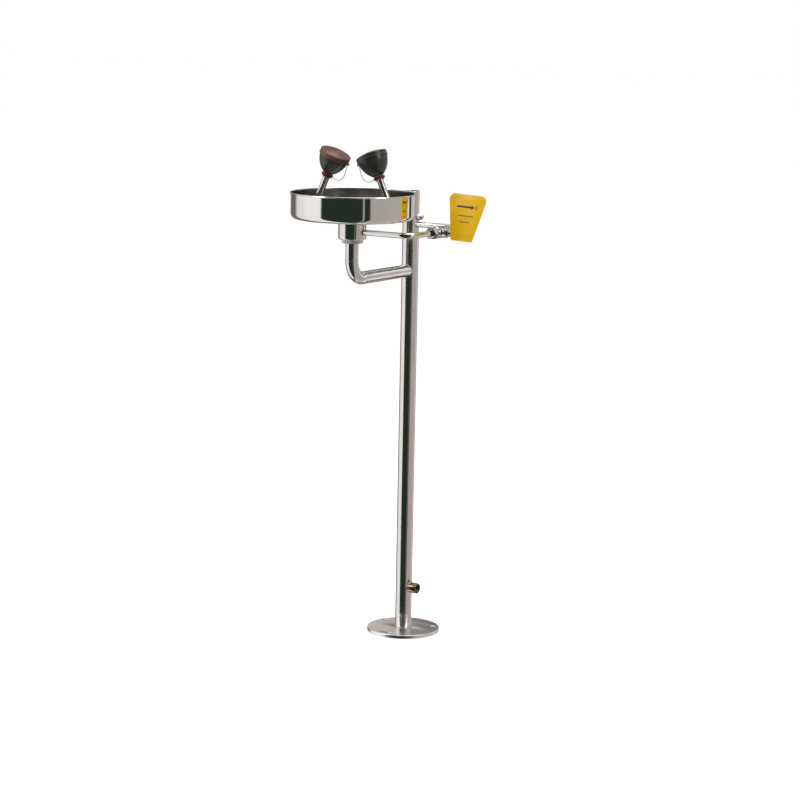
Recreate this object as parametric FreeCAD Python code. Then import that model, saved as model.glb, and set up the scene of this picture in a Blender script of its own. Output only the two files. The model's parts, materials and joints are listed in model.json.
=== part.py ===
import FreeCAD, Part
import math
import os

from FreeCAD import Placement, Rotation, Vector

# Pedestal eyewash station.  Millimetres, +Z up, origin at the centre of the base plate's underside.
# The user stands on the -Y side, facing the bowl; the supply valve and push paddle are on +X.

X_AXIS = Vector(1, 0, 0)
Y_AXIS = Vector(0, 1, 0)
Z_AXIS = Vector(0, 0, 1)

# ---- driving dimensions -------------------------------------------------------------------

# pedestal
base_diameter = 168.0
base_thickness = 8.0
base_edge_radius = 1.2
base_hole_diameter = 11.0
waste_outlet_diameter = 28.0
base_hole_circle = 138.0
base_hole_count = 3
base_hole_turn = 36.0
column_diameter = 38.0
column_wall = 3.0
column_top = 1027.0
cap_thickness = 2.0
cap_plug_length = 12.0
cap_edge_radius = 0.6

# water supply
supply_tube_diameter = 12.7
supply_tube_wall = 1.2
supply_height = 951.0
supply_bend_radius = 25.0
inner_bend_radius = 14.0
riser_offset = 4.0
inlet_height = 104.0
inlet_socket_diameter = 24.0
inlet_socket_reach = 38.0
inlet_thread_diameter = 18.6
inlet_thread_depth = 14.0
inlet_thread_stop = 2.0
inlet_socket_chamfer = 1.0
rear_pipe_entry = 5.0

# cross bolt through the column
bolt_height = 968.5
bolt_diameter = 8.0
bolt_hex = 13.0
bolt_head_height = 5.3
bolt_washer_diameter = 16.0
bolt_washer_thickness = 1.6
cap_nut_height = 12.0
cap_nut_roof = 3.0
cap_nut_step = 0.4
cap_nut_roundness = 0.85
bolt_end_gap = 4.0

# waste arm
arm_height = 845.5
drain_tube_diameter = 28.6
drain_tube_wall = 1.5
bowl_offset = 242.0
drain_bend_radius = 42.0
riser_entry = 2.5

# waste body under the bowl
drum_diameter = 62.0
drum_bottom = 934.0
drum_height = 38.5
drum_wall = 3.5
drum_roof = 5.0
drum_edge_radius = 4.0
spigot_diameter = 38.0
collar_nut_diameter = 48.0
collar_nut_height = 8.0
collar_nut_edge_radius = 1.0
collar_floor = 2.0
seal_thickness = 2.0
gasket_thickness = 2.5

# bowl
bowl_diameter = 272.0
bowl_sheet = 0.8
bowl_rim_height = 1037.0
bowl_corner_radius = 12.0
bowl_fall = 3.5
bowl_flat_radius = 34.0
rim_roll_radius = 1.4

# waste flange and strainer
neck_diameter = 40.0
flange_diameter = 64.0
flange_thickness = 2.0
flange_washer_thickness = 1.0
flange_washer_inset = 1.0
flange_edge_radius = 0.8
neck_length = 15.0
neck_bore = 31.0
strainer_diameter = 35.0
strainer_thickness = 1.5
strainer_hole = 3.4
strainer_hole_count = 11

# spray manifold
standpipe_diameter = 16.0
standpipe_wall = 1.5
manifold_height = 997.0
tee_diameter = 24.0
tee_arm_diameter = 21.0
tee_arm_reach = 20.0
tee_crown_radius = 3.0
spray_tube_diameter = 15.0
spray_tube_wall = 1.2
spray_bend_radius = 22.0
stem_lean = 24.5
stem_mid_x = 84.0
stem_mid_z = 1037.0
socket_depth = 8.0
supply_elbow_radius = 11.0
supply_elbow_drop = 9.0
supply_elbow_wall = 2.5
supply_elbow_rise = 12.0
pipe_end_gap = 2.0

# spray heads, measured along the head axis from the underside of the collar
neck_z = 1068.0
cup_collar_diameter = 22.0
cup_collar_height = 10.0
cup_collar_edge_radius = 1.2
cup_neck_diameter = 23.0
cup_diameter = 66.0
cup_wall = 2.5
cup_rim = 57.0
cup_shoulder = 46.0
cup_seat_depth = 6.0
cup_swell = 3.0
cup_wall_lift = 0.6
stem_seal_section = 2.5
filter_position = 28.0
filter_thickness = 8.0
diffuser_position = 39.0
diffuser_thickness = 3.0
diffuser_hole = 2.6
dust_cap_diameter = 70.0
dust_cap_wall = 1.6
dust_cap_skirt = 11.0
dust_cap_crown = 6.0
dust_cap_edge = 2.5
lug_width = 8.0
lug_length = 7.0
lug_thickness = 3.0
lug_root = 0.5
lug_corner_share = 0.4
lanyard_diameter = 1.6
lanyard_ring_section = 2.4
lanyard_ring_height = 5.0
lanyard_ring_rounding = 0.5
lanyard_bend_share = 0.45

# ball valve
valve_x = 150.0
valve_y = -122.0
valve_body_diameter = 26.0
valve_body_edge_radius = 1.5
valve_bore = 10.0
ball_diameter = 17.0
seat_start = 6.0
seat_length = 5.0
seat_outer_diameter = 18.2
body_front = 24.0
body_back = 18.0
adapter_length = 6.0
spigot_thread_diameter = 19.0
spigot_length = 8.0
union_nut_hex = 24.0
union_nut_length = 13.0
union_nut_floor = 2.0
union_collar_diameter = 18.0
union_collar_length = 1.9
union_washer_thickness = 2.0
bonnet_diameter = 22.0
bonnet_reach = 22.0
packing_diameter = 12.8
packing_length = 4.0
packing_cover = 3.0
gland_hex = 14.0
gland_head_height = 4.0
stem_diameter = 8.0
stem_flange_diameter = 12.0
stem_flange_thickness = 2.4
stem_flange_gap = 0.2
stem_tongue_width = 8.0
stem_end_length = 1.5
stem_thread_diameter = 6.0
stem_shoulder = 34.0
lever_nut_hex = 10.0
lever_nut_height = 5.0
lever_washer_diameter = 12.0
lever_washer_thickness = 1.2

# lever and push paddle
paddle_x = 218.0
paddle_bottom_y = -140.0
paddle_bottom_z = 937.0
paddle_lean = 12.0
paddle_cant = 2.4
paddle_height = 103.0
paddle_bottom_width = 53.0
paddle_top_width = 98.0
paddle_thickness = 3.0
paddle_top_corner = 13.0
paddle_bottom_corner = 4.0
lever_thickness = 3.0
lever_hub_diameter = 18.0
lever_flange_bottom = 24.0
lever_flange_top = 62.0
lever_flange_reach = 48.0
lever_flange_corner = 6.0
lever_web_foot = 8.0
paddle_edge_radius = 0.5
stud_diameter = 5.0
stud_end_gap = 9.0
stud_end_length = 1.0
stud_spacing = 18.0
stud_nut_hex = 8.0
stud_nut_height = 4.0
stud_washer_thickness = 1.0

# nuts: how much of each corner is turned off
hexagon_chamfer_share = 0.8

# clearances
slip = 0.1
running = 0.1
seat_gap = 0.05
cap_gap = 0.4
hole_gap = 0.3

# short lengths that carry one shape into its neighbour, so that the two join as one solid
join = 1.0

# ---- derived values -----------------------------------------------------------------------

column_radius = column_diameter / 2
column_inner = column_radius - column_wall
bowl_centre = Vector(0, -bowl_offset, 0)
drum_top = drum_bottom + drum_height
bowl_bottom = drum_top + gasket_thickness
bowl_radius = bowl_diameter / 2
flange_bottom = bowl_bottom + bowl_sheet + flange_washer_thickness
valve_centre = Vector(valve_x, valve_y, supply_height)
lean = math.radians(stem_lean)


# ---- shape helpers ------------------------------------------------------------------------

def rod(start, direction, length, diameter):
    """A solid round bar."""
    return Part.makeCylinder(diameter / 2, length, start, direction)


def ring(start, direction, length, outer, inner):
    """A round bar with a hole along its axis."""
    return rod(start, direction, length, outer).cut(rod(start, direction, length, inner))


def hexagon(start, direction, length, across_flats):
    """A hexagonal bar with its corners turned off at both ends."""
    corner = across_flats / math.sqrt(3)
    points = [Vector(corner * math.cos(math.radians(60 * i)), corner * math.sin(math.radians(60 * i)), 0)
              for i in range(7)]
    bar = Part.Face(Part.makePolygon(points)).extrude(Vector(0, 0, length))
    chamfer = hexagon_chamfer_share * (corner - across_flats / 2)
    bar = bar.common(Part.makeCone(corner - chamfer, corner + length, length + chamfer))
    bar = bar.common(Part.makeCone(corner + length, corner - chamfer, length + chamfer,
                                   Vector(0, 0, -chamfer)))
    bar.Placement = Placement(start, Rotation(Z_AXIS, direction))
    return bar


def outline(points):
    """Lines and three-point arcs joined into a closed wire; an arc is given as its middle and end."""
    edges = []
    start = points[0]
    for item in points[1:]:
        if isinstance(item, tuple):
            middle, end = item
            edges.append(Part.Arc(start, middle, end).toShape())
        else:
            end = item
            edges.append(Part.makeLine(start, end))
        start = end
    edges.append(Part.makeLine(start, points[0]))
    return Part.Wire(edges)


def turned(points, centre=Vector(0, 0, 0)):
    """A solid turned about the vertical axis from (radius, height) points."""
    def place(pair):
        return Vector(pair[0], 0, pair[1])
    profile = [tuple(map(place, p)) if isinstance(p[0], tuple) else place(p) for p in points]
    solid = Part.Face(outline(profile)).revolve(Vector(0, 0, 0), Z_AXIS, 360)
    solid.translate(centre)
    return solid


def bent_path(points, radii):
    """Straight runs joined by tangent arcs of the given radii."""
    edges = []
    start = points[0]
    for before, corner, after, radius in zip(points, points[1:], points[2:], radii):
        back = (before - corner).normalize()
        ahead = (after - corner).normalize()
        half_turn = (math.pi - back.getAngle(ahead)) / 2
        reach = radius * math.tan(half_turn)
        enter = corner + back * reach
        leave = corner + ahead * reach
        bisector = (back + ahead).normalize()
        middle = corner + bisector * (radius / math.cos(half_turn) - radius)
        edges.append(Part.LineSegment(start, enter).toShape())
        edges.append(Part.Arc(enter, middle, leave).toShape())
        start = leave
    edges.append(Part.LineSegment(start, points[-1]).toShape())
    return Part.Wire(edges)


def swept(path, start, direction, diameter):
    """A round bar carried along a path."""
    circle = Part.Wire(Part.Circle(start, direction, diameter / 2).toShape())
    return path.makePipeShell([circle], True, False)


def bent_tube(points, bend_radius, diameter, wall):
    """A round tube along straight runs and equal bends."""
    path = bent_path(points, [bend_radius] * (len(points) - 2))
    direction = (points[1] - points[0]).normalize()
    outside = swept(path, points[0], direction, diameter)
    return outside.cut(swept(path, points[0], direction, diameter - 2 * wall))


def save(name, shape):
    """Write one node after checking that every solid in it is sound."""
    solids = shape.Solids
    sound = all(solid.isValid() for solid in solids)
    volume = sum(solid.Volume for solid in solids)
    print(f"{name}: {len(solids)} solid(s), {volume / 1000:.2f} cm3, valid {sound}")
    if len(solids) == 1:
        shape = solids[0]
    shape.exportStep(f"parts/{name}.step")


os.makedirs("parts", exist_ok=True)


def placed(shape, placement):
    """A copy of the shape at a placement."""
    moved = shape.copy()
    moved.Placement = placement.multiply(moved.Placement)
    return moved


# ---- base plate and column ----------------------------------------------------------------

def base_plate():
    """Round floor plate with anchor holes and the waste outlet in its middle."""
    plate = rod(Vector(0, 0, 0), Z_AXIS, base_thickness, base_diameter)
    plate = plate.cut(rod(Vector(0, 0, 0), Z_AXIS, base_thickness, waste_outlet_diameter))
    for i in range(base_hole_count):
        angle = math.radians(base_hole_turn + 360 * i / base_hole_count)
        place = Vector(math.cos(angle), math.sin(angle), 0) * (base_hole_circle / 2)
        plate = plate.cut(rod(place, Z_AXIS, base_thickness, base_hole_diameter))
    rim = [e for e in plate.Edges if abs(e.BoundBox.XLength - base_diameter) < 0.5
           and e.BoundBox.ZMin > base_thickness / 2 and e.Closed]
    return plate.makeFillet(base_edge_radius, rim)


def column_tube():
    """Upright tube, pierced for the inlet, the waste arm, the rear supply pipe and the cross bolt."""
    tube = ring(Vector(0, 0, base_thickness), Z_AXIS, column_top - cap_thickness - base_thickness,
                column_diameter, 2 * column_inner)
    pipe_hole = supply_tube_diameter + 2 * slip
    tube = tube.cut(rod(Vector(0, 0, inlet_height), X_AXIS, column_diameter, pipe_hole))
    tube = tube.cut(rod(Vector(0, 0, supply_height), X_AXIS, column_diameter, pipe_hole))
    tube = tube.cut(rod(Vector(0, 0, arm_height), -Y_AXIS, column_diameter,
                        drain_tube_diameter - 2 * drain_tube_wall))
    return tube.cut(rod(Vector(-column_diameter, 0, bolt_height), X_AXIS, 2 * column_diameter,
                        bolt_diameter + 2 * hole_gap))


def column_cap():
    """Flat lid with a plug that fits inside the column."""
    lid = rod(Vector(0, 0, column_top - cap_thickness), Z_AXIS, cap_thickness, column_diameter)
    lid = lid.makeFillet(cap_edge_radius, [e for e in lid.Edges if e.BoundBox.ZMin > column_top - 0.01])
    plug = ring(Vector(0, 0, column_top - cap_thickness - cap_plug_length), Z_AXIS, cap_plug_length,
                2 * (column_inner - slip), 2 * (column_inner - 2 * column_wall))
    return lid.fuse(plug).removeSplitter()


save("base_plate", base_plate())
save("column_tube", column_tube())
save("column_cap", column_cap())


# ---- inlet and supply pipes ---------------------------------------------------------------

rear_pipe_start = column_inner - rear_pipe_entry
inlet_pipe_end = inlet_socket_reach - inlet_thread_depth - inlet_thread_stop


def inlet_socket():
    """Half coupling welded to the column, threaded inside for the building's supply."""
    socket = rod(Vector(0, 0, inlet_height), X_AXIS, inlet_socket_reach, inlet_socket_diameter)
    socket = socket.makeChamfer(inlet_socket_chamfer, [e for e in socket.Edges
                                                       if e.BoundBox.XMin > inlet_socket_reach - 0.01])
    socket = socket.cut(rod(Vector(0, 0, inlet_height - inlet_socket_diameter), Z_AXIS,
                            2 * inlet_socket_diameter, column_diameter))
    socket = socket.common(Part.makeBox(inlet_socket_reach, inlet_socket_diameter, inlet_socket_diameter,
                                        Vector(0, -inlet_socket_diameter / 2,
                                               inlet_height - inlet_socket_diameter / 2)))
    thread_start = inlet_socket_reach - inlet_thread_depth
    socket = socket.cut(rod(Vector(thread_start, 0, inlet_height), X_AXIS, inlet_thread_depth,
                            inlet_thread_diameter))
    socket = socket.cut(rod(Vector(0, 0, inlet_height), X_AXIS, inlet_socket_reach,
                            supply_tube_diameter - 2 * supply_tube_wall))
    return socket.cut(rod(Vector(0, 0, inlet_height), X_AXIS, inlet_pipe_end,
                          supply_tube_diameter + 2 * slip))


def supply_riser():
    """Tube inside the column that carries clean water from the inlet up to the rear pipe."""
    points = [Vector(inlet_pipe_end, 0, inlet_height), Vector(-riser_offset, 0, inlet_height),
              Vector(-riser_offset, 0, supply_height), Vector(rear_pipe_start, 0, supply_height)]
    return bent_tube(points, inner_bend_radius, supply_tube_diameter, supply_tube_wall)


back_union = valve_y + body_back + adapter_length + spigot_length + union_washer_thickness
front_union = valve_y - body_front - spigot_length - union_washer_thickness
elbow_socket_start = supply_elbow_radius - join


def rear_supply_pipe():
    """Pipe from the column to the back of the valve, with its union collar."""
    points = [Vector(rear_pipe_start, 0, supply_height), Vector(valve_x, 0, supply_height),
              Vector(valve_x, back_union, supply_height)]
    pipe = bent_tube(points, supply_bend_radius, supply_tube_diameter, supply_tube_wall)
    collar = ring(Vector(valve_x, back_union, supply_height), Y_AXIS, union_collar_length,
                  union_collar_diameter, supply_tube_diameter - supply_tube_wall)
    return pipe.fuse(collar).removeSplitter()


def front_supply_pipe():
    """Pipe from the front of the valve into the side of the waste body, with its union collar."""
    points = [Vector(valve_x, front_union, supply_height), Vector(valve_x, -bowl_offset, supply_height),
              Vector(elbow_socket_start, -bowl_offset, supply_height)]
    pipe = bent_tube(points, supply_bend_radius, supply_tube_diameter, supply_tube_wall)
    collar = ring(Vector(valve_x, front_union, supply_height), -Y_AXIS, union_collar_length,
                  union_collar_diameter, supply_tube_diameter - supply_tube_wall)
    return pipe.fuse(collar).removeSplitter()


save("inlet_socket", inlet_socket())
save("supply_riser", supply_riser())
save("rear_supply_pipe", rear_supply_pipe())
save("front_supply_pipe", front_supply_pipe())


# ---- cross bolt ---------------------------------------------------------------------------

def cross_bolt():
    """Hexagon bolt through both walls of the column."""
    head_face = -(column_radius + bolt_washer_thickness)
    head = hexagon(Vector(head_face - bolt_head_height, 0, bolt_height), X_AXIS, bolt_head_height, bolt_hex)
    length = 2 * (column_radius + bolt_washer_thickness) + cap_nut_height - bolt_end_gap
    shank = rod(Vector(head_face, 0, bolt_height), X_AXIS, length, bolt_diameter)
    return head.fuse(shank).removeSplitter()


def cross_bolt_washers():
    """One flat washer under the head and one under the cap nut."""
    pair = []
    for side in (-1, 1):
        start = Vector(side * column_radius, 0, bolt_height)
        pair.append(ring(start, X_AXIS * side, bolt_washer_thickness, bolt_washer_diameter,
                         bolt_diameter + 2 * hole_gap))
    return Part.makeCompound(pair)


def cross_bolt_cap_nut():
    """Domed hexagon nut on the valve side of the column."""
    face = column_radius + bolt_washer_thickness
    hex_height = cap_nut_height / 2
    nut = hexagon(Vector(face, 0, bolt_height), X_AXIS, hex_height, bolt_hex)
    dome_radius = bolt_hex / 2 - cap_nut_step
    dome = rod(Vector(face, 0, bolt_height), X_AXIS, cap_nut_height, 2 * dome_radius)
    dome = dome.makeFillet(dome_radius * cap_nut_roundness,
                           [e for e in dome.Edges if e.BoundBox.XMin > face + cap_nut_height - 0.01])
    nut = nut.fuse(dome)
    return nut.cut(rod(Vector(face, 0, bolt_height), X_AXIS, cap_nut_height - cap_nut_roof,
                       bolt_diameter + 2 * slip)).removeSplitter()


save("cross_bolt", cross_bolt())
save("cross_bolt_washers", cross_bolt_washers())
save("cross_bolt_cap_nut", cross_bolt_cap_nut())


# ---- waste arm, elbow and riser -----------------------------------------------------------

elbow_end_y = -bowl_offset + drain_bend_radius
elbow_top_z = arm_height + drain_bend_radius
drain_inner = drain_tube_diameter - 2 * drain_tube_wall


def drain_arm():
    """Horizontal tube, coped to the column."""
    arm = rod(Vector(0, elbow_end_y, arm_height), Y_AXIS, -elbow_end_y, drain_tube_diameter)
    arm = arm.cut(rod(Vector(0, elbow_end_y, arm_height), Y_AXIS, -elbow_end_y, drain_inner))
    return arm.cut(rod(Vector(0, 0, arm_height - column_diameter), Z_AXIS, 2 * column_diameter,
                       column_diameter))


def drain_elbow():
    """Quarter bend from the arm up to the riser."""
    pivot = Vector(0, elbow_end_y, elbow_top_z)
    start = Vector(0, elbow_end_y, arm_height)

    def quarter(diameter):
        section = Part.Face(Part.Wire(Part.Circle(start, -Y_AXIS, diameter / 2).toShape()))
        return section.revolve(pivot, -X_AXIS, 90)

    return quarter(drain_tube_diameter).cut(quarter(drain_inner))


def drain_riser():
    """Upright tube from the elbow into the waste body."""
    top = drum_bottom + drum_wall + riser_entry
    return ring(bowl_centre + Z_AXIS * elbow_top_z, Z_AXIS, top - elbow_top_z, drain_tube_diameter,
                drain_inner)


save("drain_arm", drain_arm())
save("drain_elbow", drain_elbow())
save("drain_riser", drain_riser())


# ---- waste body and its collar ------------------------------------------------------------

spigot_bottom = drum_bottom - collar_nut_height + collar_floor + seal_thickness
drain_fit = drain_tube_diameter + 2 * slip


def drain_body():
    """Round housing under the bowl: waste falls through it and the clean supply enters its side."""
    drum = rod(bowl_centre + Z_AXIS * drum_bottom, Z_AXIS, drum_height, drum_diameter)
    drum = drum.makeFillet(drum_edge_radius, [e for e in drum.Edges if e.Closed and len(e.Vertexes) == 1
                                              and e.BoundBox.ZLength < 0.01])
    drum = drum.fuse(rod(bowl_centre + Z_AXIS * spigot_bottom, Z_AXIS, drum_bottom - spigot_bottom + join,
                         spigot_diameter))
    drum = drum.cut(rod(bowl_centre + Z_AXIS * (drum_bottom + drum_wall), Z_AXIS,
                        drum_height - drum_wall - drum_roof, drum_diameter - 2 * drum_wall))
    drum = drum.cut(rod(bowl_centre + Z_AXIS * spigot_bottom, Z_AXIS, drum_height, drain_fit))
    drum = drum.cut(rod(bowl_centre + Z_AXIS * (drum_top - drum_roof), Z_AXIS, drum_roof,
                        neck_diameter + 2 * slip))
    return drum.cut(rod(bowl_centre + Z_AXIS * supply_height, X_AXIS, drum_diameter,
                        supply_tube_diameter + 2 * slip)).removeSplitter()


def collar_nut():
    """Ring nut that draws the seal tight round the riser."""
    bottom = drum_bottom - collar_nut_height
    nut = rod(bowl_centre + Z_AXIS * bottom, Z_AXIS, collar_nut_height, collar_nut_diameter)
    nut = nut.makeFillet(collar_nut_edge_radius, [e for e in nut.Edges
                                                  if abs(e.BoundBox.ZMax - bottom) < 0.01])
    nut = nut.cut(rod(bowl_centre + Z_AXIS * bottom, Z_AXIS, collar_nut_height,
                      drain_tube_diameter + 2 * hole_gap))
    return nut.cut(rod(bowl_centre + Z_AXIS * (bottom + collar_floor), Z_AXIS, collar_nut_height,
                       spigot_diameter + 2 * slip))


def collar_seal():
    """Rubber ring squeezed between the collar nut and the waste body's spigot."""
    return ring(bowl_centre + Z_AXIS * (drum_bottom - collar_nut_height + collar_floor), Z_AXIS,
                seal_thickness, spigot_diameter, drain_tube_diameter)


save("drain_body", drain_body())
save("collar_nut", collar_nut())
save("collar_seal", collar_seal())


# ---- bowl and its waste flange ------------------------------------------------------------

def bowl():
    """Spun sheet bowl: flat middle, floor that rises outwards, rounded corner, rolled rim."""
    inner_wall = bowl_radius - bowl_sheet
    floor_edge = bowl_radius - bowl_corner_radius
    floor_z = bowl_bottom + bowl_fall
    corner_z = floor_z + bowl_corner_radius
    inner_corner = bowl_corner_radius - bowl_sheet
    diagonal = math.sqrt(0.5)
    roll_z = bowl_rim_height - rim_roll_radius
    roll_x = inner_wall + rim_roll_radius
    hole = neck_diameter / 2 + 2 * hole_gap
    profile = [
        (hole, bowl_bottom),
        (bowl_flat_radius, bowl_bottom),
        (floor_edge, floor_z),
        ((floor_edge + bowl_corner_radius * diagonal, corner_z - bowl_corner_radius * diagonal),
         (bowl_radius, corner_z)),
        (bowl_radius, roll_z),
        (roll_x + rim_roll_radius, roll_z),
        ((roll_x, bowl_rim_height), (inner_wall, roll_z)),
        (inner_wall, corner_z),
        ((floor_edge + inner_corner * diagonal, corner_z - inner_corner * diagonal),
         (floor_edge, floor_z + bowl_sheet)),
        (bowl_flat_radius, bowl_bottom + bowl_sheet),
        (hole, bowl_bottom + bowl_sheet),
    ]
    return turned(profile, bowl_centre)


def bowl_gasket():
    """Rubber ring between the waste body and the bowl."""
    return ring(bowl_centre + Z_AXIS * drum_top, Z_AXIS, gasket_thickness,
                drum_diameter - 2 * drum_edge_radius, neck_diameter + 4 * hole_gap)


def flange_washer():
    """Rubber ring between the bowl and the waste flange."""
    return ring(bowl_centre + Z_AXIS * (bowl_bottom + bowl_sheet), Z_AXIS, flange_washer_thickness,
                flange_diameter - 2 * flange_washer_inset, neck_diameter + 4 * hole_gap)


def waste_flange():
    """Flange and threaded neck that clamp the bowl onto the waste body."""
    flange = rod(bowl_centre + Z_AXIS * flange_bottom, Z_AXIS, flange_thickness, flange_diameter)
    flange = flange.makeFillet(flange_edge_radius, [e for e in flange.Edges
                                                    if e.BoundBox.ZMin > flange_bottom + join])
    neck = rod(bowl_centre + Z_AXIS * (flange_bottom - neck_length), Z_AXIS, neck_length + join,
               neck_diameter)
    whole = flange.fuse(neck)
    whole = whole.cut(rod(bowl_centre + Z_AXIS * (flange_bottom - neck_length), Z_AXIS,
                          neck_length + flange_thickness, neck_bore))
    recess = flange_bottom + flange_thickness - strainer_thickness
    return whole.cut(rod(bowl_centre + Z_AXIS * recess, Z_AXIS, flange_thickness,
                         strainer_diameter + 2 * slip)).removeSplitter()


def strainer():
    """Perforated disc in the waste flange, with the standpipe through its middle."""
    start = bowl_centre + Z_AXIS * (flange_bottom + flange_thickness - strainer_thickness)
    disc = ring(start, Z_AXIS, strainer_thickness, strainer_diameter, standpipe_diameter + 2 * slip)
    hole_circle = (neck_bore + standpipe_diameter) / 4
    for i in range(strainer_hole_count):
        angle = 2 * math.pi * i / strainer_hole_count
        place = start + Vector(math.cos(angle), math.sin(angle), 0) * hole_circle
        disc = disc.cut(rod(place, Z_AXIS, strainer_thickness, strainer_hole))
    return disc


save("bowl", bowl())
save("bowl_gasket", bowl_gasket())
save("flange_washer", flange_washer())
save("waste_flange", waste_flange())
save("strainer", strainer())


# ---- manifold -----------------------------------------------------------------------------

supply_bore = supply_tube_diameter - 2 * supply_tube_wall
standpipe_bore = standpipe_diameter - 2 * standpipe_wall
elbow_top = supply_height + supply_elbow_rise
standpipe_bottom = elbow_top - socket_depth
tee_bottom = manifold_height - tee_diameter / 2
standpipe_top = tee_bottom + socket_depth - pipe_end_gap


def supply_elbow():
    """Brazed elbow inside the waste body that turns the supply up into the standpipe."""
    centre = bowl_centre + Z_AXIS * supply_height
    socket_end = elbow_socket_start + socket_depth
    elbow = rod(centre - Z_AXIS * supply_elbow_drop, Z_AXIS, supply_elbow_rise + supply_elbow_drop,
                2 * supply_elbow_radius)
    elbow = elbow.fuse(rod(centre, X_AXIS, socket_end, supply_tube_diameter + 2 * supply_elbow_wall))
    elbow = elbow.cut(rod(centre + X_AXIS * elbow_socket_start, X_AXIS, socket_depth,
                          supply_tube_diameter + 2 * slip))
    elbow = elbow.cut(rod(centre, X_AXIS, socket_end, supply_bore))
    elbow = elbow.cut(rod(centre, Z_AXIS, supply_elbow_rise, standpipe_bore))
    elbow = elbow.cut(rod(bowl_centre + Z_AXIS * standpipe_bottom, Z_AXIS, socket_depth,
                          standpipe_diameter + 2 * slip))
    return elbow.removeSplitter()


def standpipe():
    """Upright tube from the supply elbow through the strainer to the tee."""
    return ring(bowl_centre + Z_AXIS * standpipe_bottom, Z_AXIS, standpipe_top - standpipe_bottom,
                standpipe_diameter, standpipe_bore)


def spray_tee():
    """Tee in the middle of the bowl that feeds both spray tubes."""
    tee = rod(bowl_centre + Z_AXIS * tee_bottom, Z_AXIS, tee_diameter, tee_diameter)
    tee = tee.makeFillet(tee_crown_radius, [e for e in tee.Edges
                                            if e.BoundBox.ZMin > tee_bottom + tee_diameter - 0.01])
    centre = bowl_centre + Z_AXIS * manifold_height
    tee = tee.fuse(rod(centre - X_AXIS * tee_arm_reach, X_AXIS, 2 * tee_arm_reach, tee_arm_diameter))
    tee = tee.cut(rod(centre - X_AXIS * tee_arm_reach, X_AXIS, 2 * tee_arm_reach,
                      spray_tube_diameter - 2 * spray_tube_wall))
    for side in (-1, 1):
        start = centre + X_AXIS * side * (tee_arm_reach - socket_depth)
        tee = tee.cut(rod(start, X_AXIS * side, socket_depth, spray_tube_diameter + 2 * slip))
    tee = tee.cut(rod(bowl_centre + Z_AXIS * tee_bottom, Z_AXIS, tee_diameter / 2, standpipe_bore))
    tee = tee.cut(rod(bowl_centre + Z_AXIS * tee_bottom, Z_AXIS, standpipe_top - tee_bottom,
                      standpipe_diameter + 2 * slip))
    return tee.removeSplitter()


def head_direction(side):
    """Head axis: leans towards the middle of the bowl."""
    return Vector(-side * math.sin(lean), 0, math.cos(lean))


def head_origin(side):
    """Middle of the underside of the head's collar."""
    x = stem_mid_x - (neck_z - stem_mid_z) * math.tan(lean)
    return Vector(side * x, -bowl_offset, neck_z)


def spray_tube(side):
    """Tube from the tee, bent up and inwards to the head."""
    corner_x = stem_mid_x + (stem_mid_z - manifold_height) * math.tan(lean)
    stem_end = head_origin(side) + head_direction(side) * (cup_collar_height + cup_seat_depth)
    points = [bowl_centre + Vector(side * (tee_arm_reach - socket_depth), 0, manifold_height),
              bowl_centre + Vector(side * corner_x, 0, manifold_height), stem_end]
    return bent_tube(points, spray_bend_radius, spray_tube_diameter, spray_tube_wall)


save("supply_elbow", supply_elbow())
save("standpipe", standpipe())
save("spray_tee", spray_tee())


# ---- spray heads, built upright and then leaned into place --------------------------------

def on_head(side, shape):
    """Put an upright shape onto the leaning head axis."""
    shape = shape.copy()
    if side < 0:
        shape = shape.mirror(Vector(0, 0, 0), X_AXIS)
    return placed(shape, Placement(head_origin(side), Rotation(Y_AXIS, -side * stem_lean)))


stem_fit = spray_tube_diameter + 2 * slip
cup_bottom = cup_collar_height
cup_radius = cup_diameter / 2
seal_outer = spray_tube_diameter + 2 * stem_seal_section


def cup_collar():
    """Red ring nut under the cup."""
    nut = ring(Vector(0, 0, 0), Z_AXIS, cup_collar_height, cup_collar_diameter, stem_fit)
    outer_edges = [e for e in nut.Edges if e.BoundBox.XLength > cup_collar_diameter - 0.5
                   and e.BoundBox.ZLength < 0.01]
    return nut.makeFillet(cup_collar_edge_radius, outer_edges)


def stem_seal():
    """Rubber ring in the cup's underside, held by the collar."""
    return ring(Vector(0, 0, cup_bottom), Z_AXIS, stem_seal_section, seal_outer, spray_tube_diameter)


cup_floor = cup_bottom + cup_seat_depth
cup_middle_radius = (cup_neck_diameter / 2 + cup_radius) / 2 + cup_swell
cup_middle_height = (cup_bottom + cup_shoulder) / 2 - cup_swell


def cup_form(inset, bottom):
    """The bell's solid form from a height up to its rim, smaller all round by an inset."""
    rim_radius = cup_radius - inset
    middle = (cup_middle_radius - inset, cup_middle_height + cup_wall_lift * inset)
    return turned([(0, bottom), (cup_neck_diameter / 2 - inset, bottom), (middle, (rim_radius, cup_shoulder)),
                   (rim_radius, cup_rim), (0, cup_rim)])


def eye_cup():
    """Bell-shaped spray head cup."""
    cup = cup_form(0, cup_bottom).cut(cup_form(cup_wall, cup_floor))
    cup = cup.cut(rod(Vector(0, 0, cup_bottom), Z_AXIS, cup_seat_depth, stem_fit))
    return cup.cut(rod(Vector(0, 0, cup_bottom), Z_AXIS, stem_seal_section, seal_outer + 2 * slip))


def inner_disc(position, thickness):
    """Round disc that fits the inside of the cup at one height."""
    blank = rod(Vector(0, 0, position), Z_AXIS, thickness, cup_diameter)
    return blank.common(cup_form(cup_wall + slip, cup_floor))


diffuser_holes = ((8.0, 6), (16.0, 12), (23.5, 18))


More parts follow.
